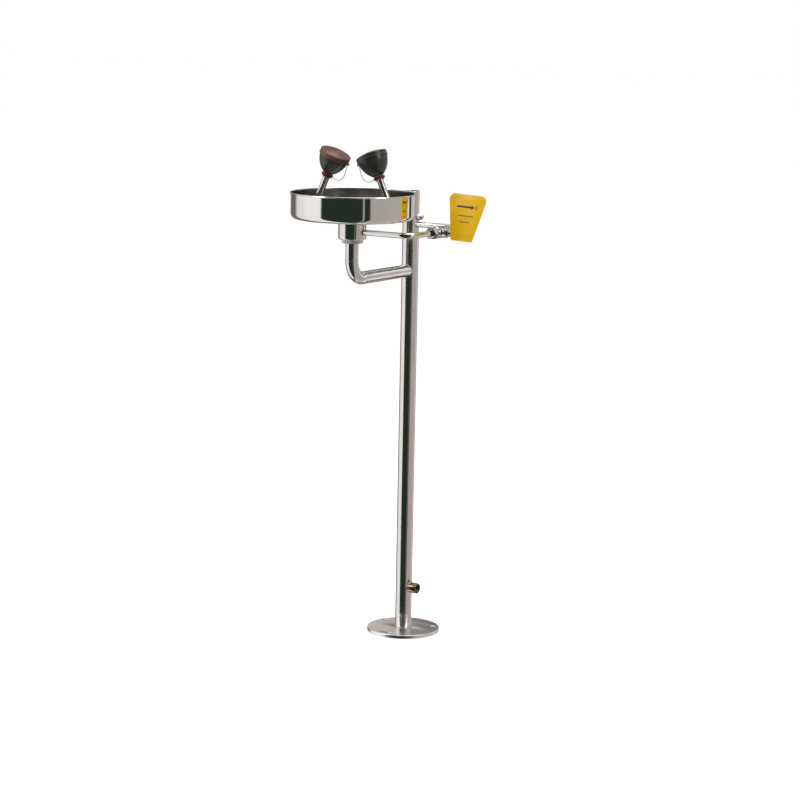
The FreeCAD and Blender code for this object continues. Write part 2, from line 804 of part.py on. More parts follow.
def diffuser():
    """Perforated disc that spreads the water."""
    disc = inner_disc(diffuser_position, diffuser_thickness)
    for circle, count in diffuser_holes:
        for i in range(count):
            angle = 2 * math.pi * i / count
            place = Vector(circle * math.cos(angle), circle * math.sin(angle), diffuser_position)
            disc = disc.cut(rod(place, Z_AXIS, diffuser_thickness, diffuser_hole))
    return disc


def filter_disc():
    """Foam disc under the diffuser."""
    return inner_disc(filter_position, filter_thickness)


skirt_bottom = cup_rim + cap_gap + dust_cap_wall - dust_cap_skirt
crown_edge = cup_rim + cap_gap + dust_cap_wall
cap_inner = dust_cap_diameter / 2 - dust_cap_wall


def dome_middle(edge_radius, rise, top):
    """Half-way point on the arc from a dome's edge to its top; the arc's centre is on the axis."""
    sphere = (edge_radius ** 2 + rise ** 2) / (2 * rise)
    half = math.asin(edge_radius / sphere) / 2
    return (sphere * math.sin(half), top - sphere + sphere * math.cos(half))


def dust_cap():
    """Domed lid with a skirt round the cup's rim and a lug for the lanyard on its inward side."""
    outer = dust_cap_diameter / 2
    crown_radius = outer - dust_cap_edge
    corner_cut = dust_cap_edge * (1 - math.sqrt(0.5))
    top = crown_edge + dust_cap_crown
    profile = [
        (cap_inner, skirt_bottom),
        (outer, skirt_bottom),
        (outer, crown_edge - dust_cap_edge),
        ((outer - corner_cut, crown_edge - corner_cut), (crown_radius, crown_edge)),
        (dome_middle(crown_radius, dust_cap_crown, top), (0, top)),
        (0, top - dust_cap_wall),
        (dome_middle(cap_inner, dust_cap_crown, top - dust_cap_wall),
         (cap_inner, crown_edge - dust_cap_wall)),
    ]
    cap = turned(profile)
    reach = outer + lug_length
    lug = Part.makeBox(reach - cap_inner - lug_root, lug_width, lug_thickness,
                       Vector(-reach, -lug_width / 2, skirt_bottom))
    lug_corners = [e for e in lug.Edges if e.BoundBox.XMax < -reach + 0.01
                   and e.BoundBox.ZLength > lug_thickness - 0.01]
    lug = lug.makeFillet(lug_width * lug_corner_share, lug_corners)
    return cap.fuse(lug).removeSplitter()


def lanyard_ring():
    """Rubber ring round the collar that holds the lower end of the lanyard."""
    outer = cup_collar_diameter + 2 * lanyard_ring_section
    start = Vector(0, 0, lanyard_ring_height - lanyard_ring_section / 2)
    band = ring(start, Z_AXIS, lanyard_ring_section, outer, cup_collar_diameter)
    outer_edges = [e for e in band.Edges if e.BoundBox.XLength > outer - 0.5 and e.BoundBox.ZLength < 0.01]
    return band.makeFillet(lanyard_ring_rounding, outer_edges)


# Lanyard route in the plane of the heads: distance from the middle of the bowl, and height.
lanyard_route = [
    (14.93, 1095.70),
    (17.83, 1089.33),
    (20.0, 1078.0),
    (25.5, 1067.5),
    (36.0, 1060.5),
    (46.51, 1062.84),
    (55.61, 1066.99),
]


def lanyard(side):
    """Thin cord from the cap's lug down to the ring on the stem."""
    points = [Vector(side * x, -bowl_offset, z) for x, z in lanyard_route]
    radii = []
    for before, corner, after in zip(points, points[1:], points[2:]):
        shorter = min(before.distanceToPoint(corner), corner.distanceToPoint(after))
        half_turn = (corner - before).getAngle(after - corner) / 2
        radii.append(lanyard_bend_share * shorter / math.tan(half_turn))
    path = bent_path(points, radii)
    print(f"lanyard length {path.Length:.1f}, bends {[round(radius, 1) for radius in radii]}")
    return swept(path, points[0], (points[1] - points[0]).normalize(), lanyard_diameter)


for side, label in ((-1, "left"), (1, "right")):
    save(f"spray_tube_{label}", spray_tube(side))
    save(f"cup_collar_{label}", on_head(side, cup_collar()))
    save(f"stem_seal_{label}", on_head(side, stem_seal()))
    save(f"eye_cup_{label}", on_head(side, eye_cup()))
    save(f"filter_disc_{label}", on_head(side, filter_disc()))
    save(f"diffuser_{label}", on_head(side, diffuser()))
    save(f"dust_cap_{label}", on_head(side, dust_cap()))
    save(f"lanyard_ring_{label}", on_head(side, lanyard_ring()))
    save(f"lanyard_{label}", lanyard(side))


# ---- ball valve ---------------------------------------------------------------------------

ball_radius = ball_diameter / 2
seat_end = seat_start + seat_length
cavity_diameter = seat_outer_diameter + 2 * slip
packing_start = bonnet_reach - packing_length - packing_cover
stem_flange_start = ball_radius + stem_flange_gap
stem_flange_end = stem_flange_start + stem_flange_thickness


def along_y(offset, length, diameter):
    """A bar on the valve's flow axis; offset is measured from the ball."""
    return rod(valve_centre + Y_AXIS * offset, Y_AXIS, length, diameter)


def along_x(offset, length, diameter):
    """A bar on the valve's stem axis; offset is measured from the ball."""
    return rod(valve_centre + X_AXIS * offset, X_AXIS, length, diameter)


def valve_body():
    """Valve casting: front spigot, barrel, ball chamber and stem bonnet."""
    body = along_y(-body_front, body_front + body_back, valve_body_diameter)
    body = body.makeFillet(valve_body_edge_radius, [e for e in body.Edges
                                                    if e.Closed and e.BoundBox.YLength < 0.01])
    body = body.fuse(along_y(-body_front - spigot_length, spigot_length + join, spigot_thread_diameter))
    body = body.fuse(along_x(0, bonnet_reach, bonnet_diameter))
    body = body.cut(along_y(-body_front - spigot_length, body_front + spigot_length, valve_bore))
    body = body.cut(along_y(-seat_end, seat_end + body_back, cavity_diameter))
    body = body.cut(along_x(0, stem_flange_end + stem_flange_gap, stem_flange_diameter + 2 * slip))
    body = body.cut(along_x(0, bonnet_reach, stem_diameter + 2 * running))
    return body.cut(along_x(packing_start, bonnet_reach, packing_diameter + 2 * slip)).removeSplitter()


def valve_end_adapter():
    """Screwed-in end that traps the ball and seats, with the rear spigot."""
    adapter = along_y(seat_end, body_back - seat_end, cavity_diameter - 2 * slip)
    adapter = adapter.fuse(hexagon(valve_centre + Y_AXIS * body_back, Y_AXIS, adapter_length, union_nut_hex))
    adapter = adapter.fuse(along_y(body_back + adapter_length - join, spigot_length + join,
                                   spigot_thread_diameter))
    return adapter.cut(along_y(seat_end, body_back + adapter_length + spigot_length,
                               valve_bore)).removeSplitter()


def valve_seats():
    """Two soft rings that bear on the ball."""
    hollow = Part.makeSphere(ball_radius + seat_gap, valve_centre)
    front = along_y(-seat_end, seat_length, seat_outer_diameter)
    back = along_y(seat_start, seat_length, seat_outer_diameter)
    bore = along_y(-seat_end, 2 * seat_end, valve_bore)
    return Part.makeCompound([front.cut(bore).cut(hollow), back.cut(bore).cut(hollow)])


slot_width = 3.0
slot_depth = 2.6
slot_floor = ball_radius - slot_depth


def valve_ball():
    """Ball with its bore upright, which is the closed position, and a slot for the stem."""
    ball = Part.makeSphere(ball_radius, valve_centre)
    ball = ball.cut(rod(valve_centre - Z_AXIS * ball_diameter, Z_AXIS, 2 * ball_diameter, valve_bore))
    slot = Part.makeBox(2 * slot_depth, slot_width + 2 * seat_gap, ball_diameter,
                        valve_centre + Vector(slot_floor, -slot_width / 2 - seat_gap, -ball_radius))
    return ball.cut(slot)


def valve_stem():
    """Stem: tongue in the ball, flange, shank and threaded end for the lever."""
    tongue_start = slot_floor + seat_gap
    tongue = Part.makeBox(stem_flange_start + join - tongue_start, slot_width, stem_tongue_width,
                          valve_centre + Vector(tongue_start, -slot_width / 2, -stem_tongue_width / 2))
    stem = along_x(stem_flange_start, stem_flange_thickness, stem_flange_diameter)
    stem = stem.fuse(along_x(stem_flange_start, stem_shoulder - stem_flange_start, stem_diameter))
    end = stem_shoulder + lever_thickness + lever_washer_thickness + lever_nut_height + stem_end_length
    stem = stem.fuse(along_x(stem_shoulder, end - stem_shoulder, stem_thread_diameter))
    return stem.fuse(tongue).removeSplitter()


def stem_packing():
    """Soft ring packed round the stem."""
    return along_x(packing_start, packing_length, packing_diameter).cut(
        along_x(packing_start, packing_length, stem_diameter + 2 * running))


def gland_nut():
    """Nut that presses on the packing."""
    screw_start = packing_start + packing_length
    nut = along_x(screw_start, bonnet_reach - screw_start + join, packing_diameter)
    nut = nut.fuse(hexagon(valve_centre + X_AXIS * bonnet_reach, X_AXIS, gland_head_height, gland_hex))
    return nut.cut(along_x(screw_start, bonnet_reach, stem_diameter + 2 * running)).removeSplitter()


def union_ends():
    """Where each pipe collar starts and which way its pipe leaves."""
    return ((front_union, -1), (back_union, 1))


def union_nuts():
    """Hexagon nuts that draw the pipe collars onto the valve."""
    pair = []
    for face, way in union_ends():
        end = face + way * (union_collar_length + slip + union_nut_floor)
        base = Vector(valve_x, end - way * union_nut_length, supply_height)
        nut = hexagon(base, Y_AXIS * way, union_nut_length, union_nut_hex)
        inside = rod(base, Y_AXIS * way, union_nut_length - union_nut_floor,
                     spigot_thread_diameter + 2 * slip)
        through = rod(base, Y_AXIS * way, union_nut_length, supply_tube_diameter + 2 * slip)
        pair.append(nut.cut(inside).cut(through))
    return Part.makeCompound(pair)


def union_washers():
    """Sealing rings between the valve and the pipe collars."""
    pair = []
    for face, way in union_ends():
        start = Vector(valve_x, face - way * union_washer_thickness, supply_height)
        pair.append(ring(start, Y_AXIS * way, union_washer_thickness, union_collar_diameter, valve_bore))
    return Part.makeCompound(pair)


save("valve_body", valve_body())
save("valve_end_adapter", valve_end_adapter())
save("valve_seats", valve_seats())
save("valve_ball", valve_ball())
save("valve_stem", valve_stem())
save("stem_packing", stem_packing())
save("gland_nut", gland_nut())
save("union_nuts", union_nuts())
save("union_washers", union_washers())


# ---- lever and push paddle ----------------------------------------------------------------
# Built flat: x is along +X, y is up the paddle, z is out of its face; then leaned back.

paddle_turn = Rotation(X_AXIS, 90 - paddle_lean)
paddle_place = Placement(Vector(paddle_x, paddle_bottom_y, paddle_bottom_z), paddle_turn)
stem_in_paddle = paddle_place.inverse().multVec(valve_centre)
lever_left = valve_x + stem_shoulder - paddle_x
stud_row = (lever_flange_bottom + lever_flange_top) / 2
stud_first = lever_left + lever_flange_reach - stud_spacing - stud_end_gap


def stud_places():
    """Where the two studs stand on the back of the paddle."""
    return [Vector(stud_first + i * stud_spacing, stud_row, 0) for i in range(2)]


def paddle():
    """Push plate, wider at the top, with two studs on its back."""
    bottom = paddle_bottom_width / 2
    top = paddle_top_width / 2
    corners = [Vector(-bottom, 0, 0), Vector(bottom, 0, 0), Vector(top, paddle_height, 0),
               Vector(-top, paddle_height, 0), Vector(-bottom, 0, 0)]
    plate = Part.Face(Part.makePolygon(corners)).extrude(Vector(0, 0, paddle_thickness))
    upright = [e for e in plate.Edges if e.BoundBox.ZLength > paddle_thickness - 0.01
               and e.BoundBox.XLength < 0.01 and e.BoundBox.YLength < 0.01]
    plate = plate.makeFillet(paddle_top_corner, [e for e in upright if e.BoundBox.YMin > 1])
    upright = [e for e in plate.Edges if e.BoundBox.ZLength > paddle_thickness - 0.01
               and e.BoundBox.XLength < 0.01 and e.BoundBox.YMax < 1]
    plate = plate.makeFillet(paddle_bottom_corner, upright)
    plate.rotate(Vector(0, 0, 0), Z_AXIS, -paddle_cant)
    plate = plate.makeFillet(paddle_edge_radius, [e for e in plate.Edges
                                                  if e.BoundBox.ZMin > paddle_thickness - 0.01])
    length = lever_thickness + stud_washer_thickness + stud_nut_height + stud_end_length
    for place in stud_places():
        plate = plate.fuse(rod(place + Z_AXIS * join, -Z_AXIS, length + join, stud_diameter))
    return placed(plate.removeSplitter(), paddle_place)


def lever():
    """Bent lever: a web on the valve stem and a flange behind the paddle."""
    hub_y = stem_in_paddle.y
    hub_z = stem_in_paddle.z
    hub_radius = lever_hub_diameter / 2
    web_points = [
        Vector(lever_left, hub_y, hub_z - hub_radius),
        Vector(lever_left, hub_y, hub_z + hub_radius),
        Vector(lever_left, lever_flange_bottom, 0),
        Vector(lever_left, lever_flange_top, 0),
        Vector(lever_left, lever_flange_top, -lever_web_foot),
        Vector(lever_left, hub_y + lever_hub_diameter, hub_z - hub_radius),
        Vector(lever_left, hub_y, hub_z - hub_radius),
    ]
    web = Part.Face(Part.makePolygon(web_points)).extrude(X_AXIS * lever_thickness)
    hub = rod(Vector(lever_left, hub_y, hub_z), X_AXIS, lever_thickness, lever_hub_diameter)
    flange = Part.makeBox(lever_flange_reach, lever_flange_top - lever_flange_bottom, lever_thickness,
                          Vector(lever_left, lever_flange_bottom, -lever_thickness))
    outer_edges = [e for e in flange.Edges if e.BoundBox.XMin > lever_left + 1
                   and e.BoundBox.ZLength > lever_thickness - 0.01]
    flange = flange.makeFillet(lever_flange_corner, outer_edges)
    whole = web.fuse(hub).fuse(flange).removeSplitter()
    whole = whole.cut(rod(Vector(lever_left, hub_y, hub_z), X_AXIS, lever_thickness,
                          stem_thread_diameter + 2 * seat_gap))
    for place in stud_places():
        whole = whole.cut(rod(place, -Z_AXIS, lever_thickness, stud_diameter + 2 * hole_gap))
    return placed(whole, paddle_place)


def paddle_washers():
    """Flat washers under the paddle nuts."""
    return Part.makeCompound([placed(ring(place - Z_AXIS * lever_thickness, -Z_AXIS, stud_washer_thickness,
                                          2 * stud_diameter, stud_diameter + 2 * hole_gap), paddle_place)
                              for place in stud_places()])


def paddle_nuts():
    """Hexagon nuts on the paddle's studs."""
    nuts = []
    for place in stud_places():
        start = place - Z_AXIS * (lever_thickness + stud_washer_thickness)
        nut = hexagon(start, -Z_AXIS, stud_nut_height, stud_nut_hex)
        nut = nut.cut(rod(start, -Z_AXIS, stud_nut_height, stud_diameter + 2 * seat_gap))
        nuts.append(placed(nut, paddle_place))
    return Part.makeCompound(nuts)


def lever_washer():
    """Flat washer between the lever and its nut."""
    return along_x(stem_shoulder + lever_thickness, lever_washer_thickness, lever_washer_diameter).cut(
        along_x(stem_shoulder + lever_thickness, lever_washer_thickness,
                stem_thread_diameter + 2 * hole_gap))


def lever_nut():
    """Nut that holds the lever on the stem."""
    start = stem_shoulder + lever_thickness + lever_washer_thickness
    nut = hexagon(valve_centre + X_AXIS * start, X_AXIS, lever_nut_height, lever_nut_hex)
    return nut.cut(along_x(start, lever_nut_height, stem_thread_diameter + 2 * seat_gap))


save("paddle", paddle())
save("lever", lever())
save("paddle_washers", paddle_washers())
save("paddle_nuts", paddle_nuts())
save("lever_washer", lever_washer())
save("lever_nut", lever_nut())
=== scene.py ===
import json
import math

import bmesh
import bpy
import numpy as np
from mathutils import Matrix, Vector


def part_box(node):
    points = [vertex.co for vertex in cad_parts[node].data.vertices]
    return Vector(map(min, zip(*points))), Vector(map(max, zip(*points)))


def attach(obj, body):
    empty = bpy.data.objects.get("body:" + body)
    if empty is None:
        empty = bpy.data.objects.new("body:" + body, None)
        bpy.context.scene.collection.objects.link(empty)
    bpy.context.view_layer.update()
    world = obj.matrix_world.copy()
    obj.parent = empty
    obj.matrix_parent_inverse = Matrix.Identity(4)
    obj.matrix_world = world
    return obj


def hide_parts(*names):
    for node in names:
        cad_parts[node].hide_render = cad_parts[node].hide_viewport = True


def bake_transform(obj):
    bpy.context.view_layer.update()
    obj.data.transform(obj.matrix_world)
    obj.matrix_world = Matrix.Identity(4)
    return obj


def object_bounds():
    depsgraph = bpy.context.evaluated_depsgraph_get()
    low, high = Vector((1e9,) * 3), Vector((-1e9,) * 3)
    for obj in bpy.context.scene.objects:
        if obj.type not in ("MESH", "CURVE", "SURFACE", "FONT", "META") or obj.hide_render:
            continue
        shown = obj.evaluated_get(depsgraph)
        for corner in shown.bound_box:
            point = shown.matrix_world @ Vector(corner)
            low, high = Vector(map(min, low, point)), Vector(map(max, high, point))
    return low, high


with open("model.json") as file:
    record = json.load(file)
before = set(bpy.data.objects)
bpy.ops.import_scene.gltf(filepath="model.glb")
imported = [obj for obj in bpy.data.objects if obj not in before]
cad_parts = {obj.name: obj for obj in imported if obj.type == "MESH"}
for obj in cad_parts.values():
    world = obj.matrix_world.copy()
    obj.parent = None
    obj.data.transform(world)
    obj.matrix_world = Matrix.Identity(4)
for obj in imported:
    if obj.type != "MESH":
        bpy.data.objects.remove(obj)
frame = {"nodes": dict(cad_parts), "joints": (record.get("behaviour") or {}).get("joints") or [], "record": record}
cad_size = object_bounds()


# ---- Studio ---------------------------------------------------------------------------------
# A pale floor under a soft room: white walls to the left, grey to the right and the dark side
# of the room behind the camera, which is what polished steel shows in its middle.

CAMERA_AZIMUTH = math.radians(31.9)


def card_ramp(ramp, stops):
    """Fill a colour ramp from (angle in degrees, colour) stops, where 0 degrees is the camera's side."""
    elements = ramp.color_ramp.elements
    while len(elements) > 1:
        elements.remove(elements[-1])
    for i, (angle, colour) in enumerate(stops):
        place = (angle + 180) / 360
        element = elements[0] if i == 0 else elements.new(place)
        element.position = place
        element.color = (*colour, 1)


def studio_world():
    """Room light from its direction: a band of cards by compass angle, and a white ceiling above."""
    world = bpy.data.worlds.new("studio_room")
    bpy.context.scene.world = world
    world.use_nodes = True
    nodes, links = world.node_tree.nodes, world.node_tree.links
    nodes.clear()
    place = nodes.new("ShaderNodeTexCoord")
    turn = nodes.new("ShaderNodeMapping")
    turn.vector_type = "POINT"
    turn.inputs["Rotation"].default_value = (0, 0, math.pi / 2 - CAMERA_AZIMUTH)
    axes = nodes.new("ShaderNodeSeparateXYZ")
    angle = nodes.new("ShaderNodeMath")
    angle.operation = "ARCTAN2"
    share = nodes.new("ShaderNodeMapRange")
    share.inputs["From Min"].default_value = -math.pi
    share.inputs["From Max"].default_value = math.pi
    cards = nodes.new("ShaderNodeValToRGB")
    white, dark, grey, brown = (1.0, 1.0, 1.0), (0.022, 0.032, 0.025), (0.46, 0.42, 0.40), (0.19, 0.15,
                                                                                            0.12)
    card_ramp(cards, [(-180, (0.55, 0.52, 0.49)), (-162, (0.40, 0.36, 0.33)), (-154, brown), (-132, brown),
                      (-122, (0.85, 0.85, 0.85)), (-90, white), (-61, white), (-57.5, dark), (20.7, dark),
                      (21.5, (0.55, 0.55, 0.53)), (22.5, (0.55, 0.55, 0.53)), (23.3, dark), (33, dark),
                      (36, grey),
                      (116, (0.50, 0.46, 0.44)), (119, white), (129, white), (131, (0.05, 0.04, 0.03)),
                      (139, (0.05, 0.04, 0.03)), (143, (0.60, 0.58, 0.56)), (165, (0.60, 0.58, 0.56)),
                      (172, (0.10, 0.08, 0.07)), (180, (0.10, 0.08, 0.07))])
    ceiling = nodes.new("ShaderNodeMapRange")
    ceiling.interpolation_type = "SMOOTHSTEP"
    ceiling.inputs["From Min"].default_value = 0.70
    ceiling.inputs["From Max"].default_value = 0.95
    room = nodes.new("ShaderNodeMix")
    room.data_type = "RGBA"
    room.inputs["B"].default_value = (1.0, 1.0, 1.0, 1)
    seen = nodes.new("ShaderNodeMix")
    seen.data_type = "RGBA"
    seen.inputs["B"].default_value = (1.0, 1.0, 1.0, 1)
    ray = nodes.new("ShaderNodeLightPath")
    background = nodes.new("ShaderNodeBackground")
    output = nodes.new("ShaderNodeOutputWorld")
    links.new(place.outputs["Generated"], turn.inputs["Vector"])
    links.new(turn.outputs["Vector"], axes.inputs["Vector"])
    links.new(axes.outputs["Y"], angle.inputs[0])
    links.new(axes.outputs["X"], angle.inputs[1])
    links.new(angle.outputs["Value"], share.inputs["Value"])
    links.new(share.outputs["Result"], cards.inputs["Fac"])
    links.new(axes.outputs["Z"], ceiling.inputs["Value"])
    links.new(ceiling.outputs["Result"], room.inputs["Factor"])
    links.new(cards.outputs["Color"], room.inputs["A"])
    links.new(room.outputs["Result"], seen.inputs["A"])
    links.new(ray.outputs["Is Camera Ray"], seen.inputs["Factor"])
    links.new(seen.outputs["Result"], background.inputs["Color"])
    links.new(background.outputs["Background"], output.inputs["Surface"])


def studio_floor():
    """A wide pale floor just under the base plate."""
    reach = 40.0
    mesh = bpy.data.meshes.new("studio_floor")
    corners = [(-reach, -reach, 0), (reach, -reach, 0), (reach, reach, 0), (-reach, reach, 0)]
    mesh.from_pydata([(x, y, cad_size[0][2] - 0.0005) for x, y, _ in corners], [], [(0, 1, 2, 3)])
    floor = bpy.data.objects.new("studio_floor", mesh)
    bpy.context.scene.collection.objects.link(floor)
    material = bpy.data.materials.new("pale_floor")
    material.use_nodes = True
    shader = material.node_tree.nodes["Principled BSDF"]
    shader.inputs["Base Color"].default_value = (0.93, 0.93, 0.94, 1)
    shader.inputs["Roughness"].default_value = 0.9
    shader.inputs["Emission Color"].default_value = (1, 1, 1, 1)
    shader.inputs["Emission Strength"].default_value = 0.45
    mesh.materials.append(material)
    floor.visible_glossy = False


def soft_light(name, place, aim, size, power):
    """A square area light at a place, turned to face its aim."""
    light = bpy.data.lights.new(name, "AREA")
    light.shape = "SQUARE"
    light.size = size
    light.energy = power
    lamp = bpy.data.objects.new(name, light)
    bpy.context.scene.collection.objects.link(lamp)
    lamp.location = place
    lamp.rotation_euler = (Vector(aim) - Vector(place)).to_track_quat("-Z", "Y").to_euler()


def studio_camera():
    """Long lens a little above the bowl, looking down at the middle of the station."""
    distance, height = 5.430, 1.462
    pitch, yaw, roll = math.radians(9.59), math.radians(0.18), math.radians(1.08)
    data = bpy.data.cameras.new("camera")
    data.sensor_width = 36.0
    data.lens = 107.6
    camera = bpy.data.objects.new("camera", data)
    bpy.context.scene.collection.objects.link(camera)
    camera.location = (distance * math.sin(CAMERA_AZIMUTH), -distance * math.cos(CAMERA_AZIMUTH), height)
    facing = CAMERA_AZIMUTH + yaw
    forward = Vector((-math.sin(facing) * math.cos(pitch), math.cos(facing) * math.cos(pitch),
                      -math.sin(pitch)))
    level = Vector((math.cos(facing), math.sin(facing), 0))
    upward = level.cross(forward)
    right = level * math.cos(roll) + upward * math.sin(roll)
    top = upward * math.cos(roll) - level * math.sin(roll)
    camera.rotation_euler = Matrix((right, top, -forward)).transposed().to_euler()
    bpy.context.scene.camera = camera


bpy.context.scene.view_settings.view_transform = "Standard"
studio_world()
studio_floor()
soft_light("left_softbox", (-1.6, -2.6, 2.6), (0, -0.15, 0.8), 1.4, 34)
soft_light("right_softbox", (2.8, -0.4, 2.2), (0, -0.15, 0.9), 1.0, 14)
soft_light("overhead", (0.2, 0.4, 3.4), (0, -0.15, 0.6), 1.8, 26)
studio_camera()


# ---- Base plate -----------------------------------------------------------------------------
# Round floor plate of polished stainless, laser cut with three anchor holes and the waste
# outlet, its edges broken and its top buffed to a mirror.

def node_group(name, inputs, outputs):
    """A shader node group with float, vector or colour sockets, and its input and output nodes."""
    kinds = {"float": "NodeSocketFloat", "vector": "NodeSocketVector", "colour": "NodeSocketColor"}
    group = bpy.data.node_groups.new(name, "ShaderNodeTree")
    for socket, kind, value in inputs:
        made = group.interface.new_socket(name=socket, in_out="INPUT", socket_type=kinds[kind])
        if kind == "float":
            made.default_value = value
    for socket, kind in outputs:
        group.interface.new_socket(name=socket, in_out="OUTPUT", socket_type=kinds[kind])
    return group, group.nodes.new("NodeGroupInput"), group.nodes.new("NodeGroupOutput")


def maths(nodes, links, operation, first, second=None):
    """One maths node; each side is a socket or a number."""
    node = nodes.new("ShaderNodeMath")
    node.operation = operation
    for i, value in enumerate((first, second)):
        if value is None:
            continue
        if isinstance(value, (int, float)):
            node.inputs[i].default_value = value
        else:
            links.new(value, node.inputs[i])
    return node.outputs["Value"]


def noise(nodes, links, vector, scale, detail=2.0, roughness=0.5):
    """One noise node read at a vector."""
    node = nodes.new("ShaderNodeTexNoise")
    node.inputs["Scale"].default_value = scale
    node.inputs["Detail"].default_value = detail
    node.inputs["Roughness"].default_value = roughness
    links.new(vector, node.inputs["Vector"])
    return node.outputs["Fac"]


def polish_group():
    """Buffing marks: fine lines round the piece, cloudy haze, and a few stray scratches."""
    group, source, out = node_group("polish_marks", [("Vector", "vector", None), ("Grain", "float", 1.0),
                                                     ("Haze", "float", 1.0)],
                                    [("Roughness", "float"), ("Tone", "float"), ("Height", "float")])
    nodes, links = group.nodes, group.links
    stretch = nodes.new("ShaderNodeVectorMath")
    stretch.operation = "MULTIPLY"
    stretch.inputs[1].default_value = (9.0, 900.0, 900.0)
    links.new(source.outputs["Vector"], stretch.inputs[0])
    lines = noise(nodes, links, stretch.outputs["Vector"], 1.0, 3.0, 0.6)
    cloud = noise(nodes, links, source.outputs["Vector"], 22.0, 3.0, 0.55)
    spots = noise(nodes, links, source.outputs["Vector"], 160.0, 2.0, 0.5)
    scratch = nodes.new("ShaderNodeTexVoronoi")
    scratch.feature = "DISTANCE_TO_EDGE"
    scratch.inputs["Scale"].default_value = 34.0
    scratch.inputs["Randomness"].default_value = 1.0
    links.new(source.outputs["Vector"], scratch.inputs["Vector"])
    hair = nodes.new("ShaderNodeMapRange")
    hair.inputs["From Min"].default_value = 0.0
    hair.inputs["From Max"].default_value = 0.006
    hair.inputs["To Min"].default_value = 1.0
    hair.inputs["To Max"].default_value = 0.0
    links.new(scratch.outputs["Distance"], hair.inputs["Value"])
    faint = maths(nodes, links, "MULTIPLY", hair.outputs["Result"], spots)
    hazy = maths(nodes, links, "MULTIPLY", cloud, source.outputs["Haze"])
    grain = maths(nodes, links, "MULTIPLY", lines, source.outputs["Grain"])
    rough = maths(nodes, links, "ADD", maths(nodes, links, "MULTIPLY", hazy, 0.07),
                  maths(nodes, links, "MULTIPLY", grain, 0.05))
    rough = maths(nodes, links, "ADD", rough, maths(nodes, links, "MULTIPLY", faint, 0.10))
    links.new(rough, out.inputs["Roughness"])
    tone = maths(nodes, links, "ADD", maths(nodes, links, "MULTIPLY", hazy, 0.7),
                 maths(nodes, links, "MULTIPLY", spots, 0.3))
    links.new(tone, out.inputs["Tone"])
    height = maths(nodes, links, "SUBTRACT", grain, maths(nodes, links, "MULTIPLY", faint, 0.8))
    links.new(height, out.inputs["Height"])
    return group


POLISH = polish_group()


def tone_mix(nodes, links, factor, dark, light):
    """Colour between two tones by a factor socket."""
    mix = nodes.new("ShaderNodeMix")
    mix.data_type = "RGBA"
    mix.inputs["A"].default_value = (*dark, 1)
    mix.inputs["B"].default_value = (*light, 1)
    links.new(factor, mix.inputs["Factor"])
    return mix.outputs["Result"]


def bump(nodes, links, height, strength, distance):
    """A bump node fed by a height; distance is in metres."""
    node = nodes.new("ShaderNodeBump")
    node.inputs["Strength"].default_value = strength
    node.inputs["Distance"].default_value = distance
    links.new(height, node.inputs["Height"])
    return node.outputs["Normal"]


def polished_metal(name, dark, light, roughness, grain, haze, by_uv=True):
    """Buffed metal: its tone, roughness and bump all come from the polishing marks."""
    material = bpy.data.materials.new(name)
    material.use_nodes = True
    nodes, links = material.node_tree.nodes, material.node_tree.links
    shader = nodes["Principled BSDF"]
    shader.inputs["Metallic"].default_value = 1.0
    place = nodes.new("ShaderNodeTexCoord")
    marks = nodes.new("ShaderNodeGroup")
    marks.node_tree = POLISH
    marks.inputs["Grain"].default_value = grain
    marks.inputs["Haze"].default_value = haze
    links.new(place.outputs["UV" if by_uv else "Object"], marks.inputs["Vector"])
    links.new(tone_mix(nodes, links, marks.outputs["Tone"], light, dark), shader.inputs["Base Color"])
    links.new(maths(nodes, links, "ADD", marks.outputs["Roughness"], roughness), shader.inputs["Roughness"])
    links.new(bump(nodes, links, marks.outputs["Height"], 0.10, 0.00004), shader.inputs["Normal"])
    return material


mirror_steel = polished_metal("mirror_steel", (0.70, 0.68, 0.66), (0.86, 0.85, 0.84), 0.02, 0.5, 0.7)


def add_piece(name, mesh, body, node, material):
    """Show a finished mesh: it rides on its body, if one is named, and stands for one CAD node."""
    piece = bpy.data.objects.new(name, mesh)
    bpy.context.scene.collection.objects.link(piece)
    mesh.materials.append(material)
    if body:
        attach(piece, body)
    if node:
        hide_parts(node)
    return piece


def circle_spline(curve, centre, radius):
    """A round closed Bezier spline in the plane; handles are 0.5523 of the radius long."""
    spline = curve.splines.new("BEZIER")
    spline.bezier_points.add(3)
    spline.use_cyclic_u = True
    spline.resolution_u = 24
    for i, point in enumerate(spline.bezier_points):
        turn = i * math.pi / 2
        out = Vector((math.cos(turn), math.sin(turn), 0))
        along = Vector((-math.sin(turn), math.cos(turn), 0)) * radius * 0.5523
        point.co = Vector((*centre, 0)) + out * radius
        point.handle_left = point.co - along
        point.handle_right = point.co + along


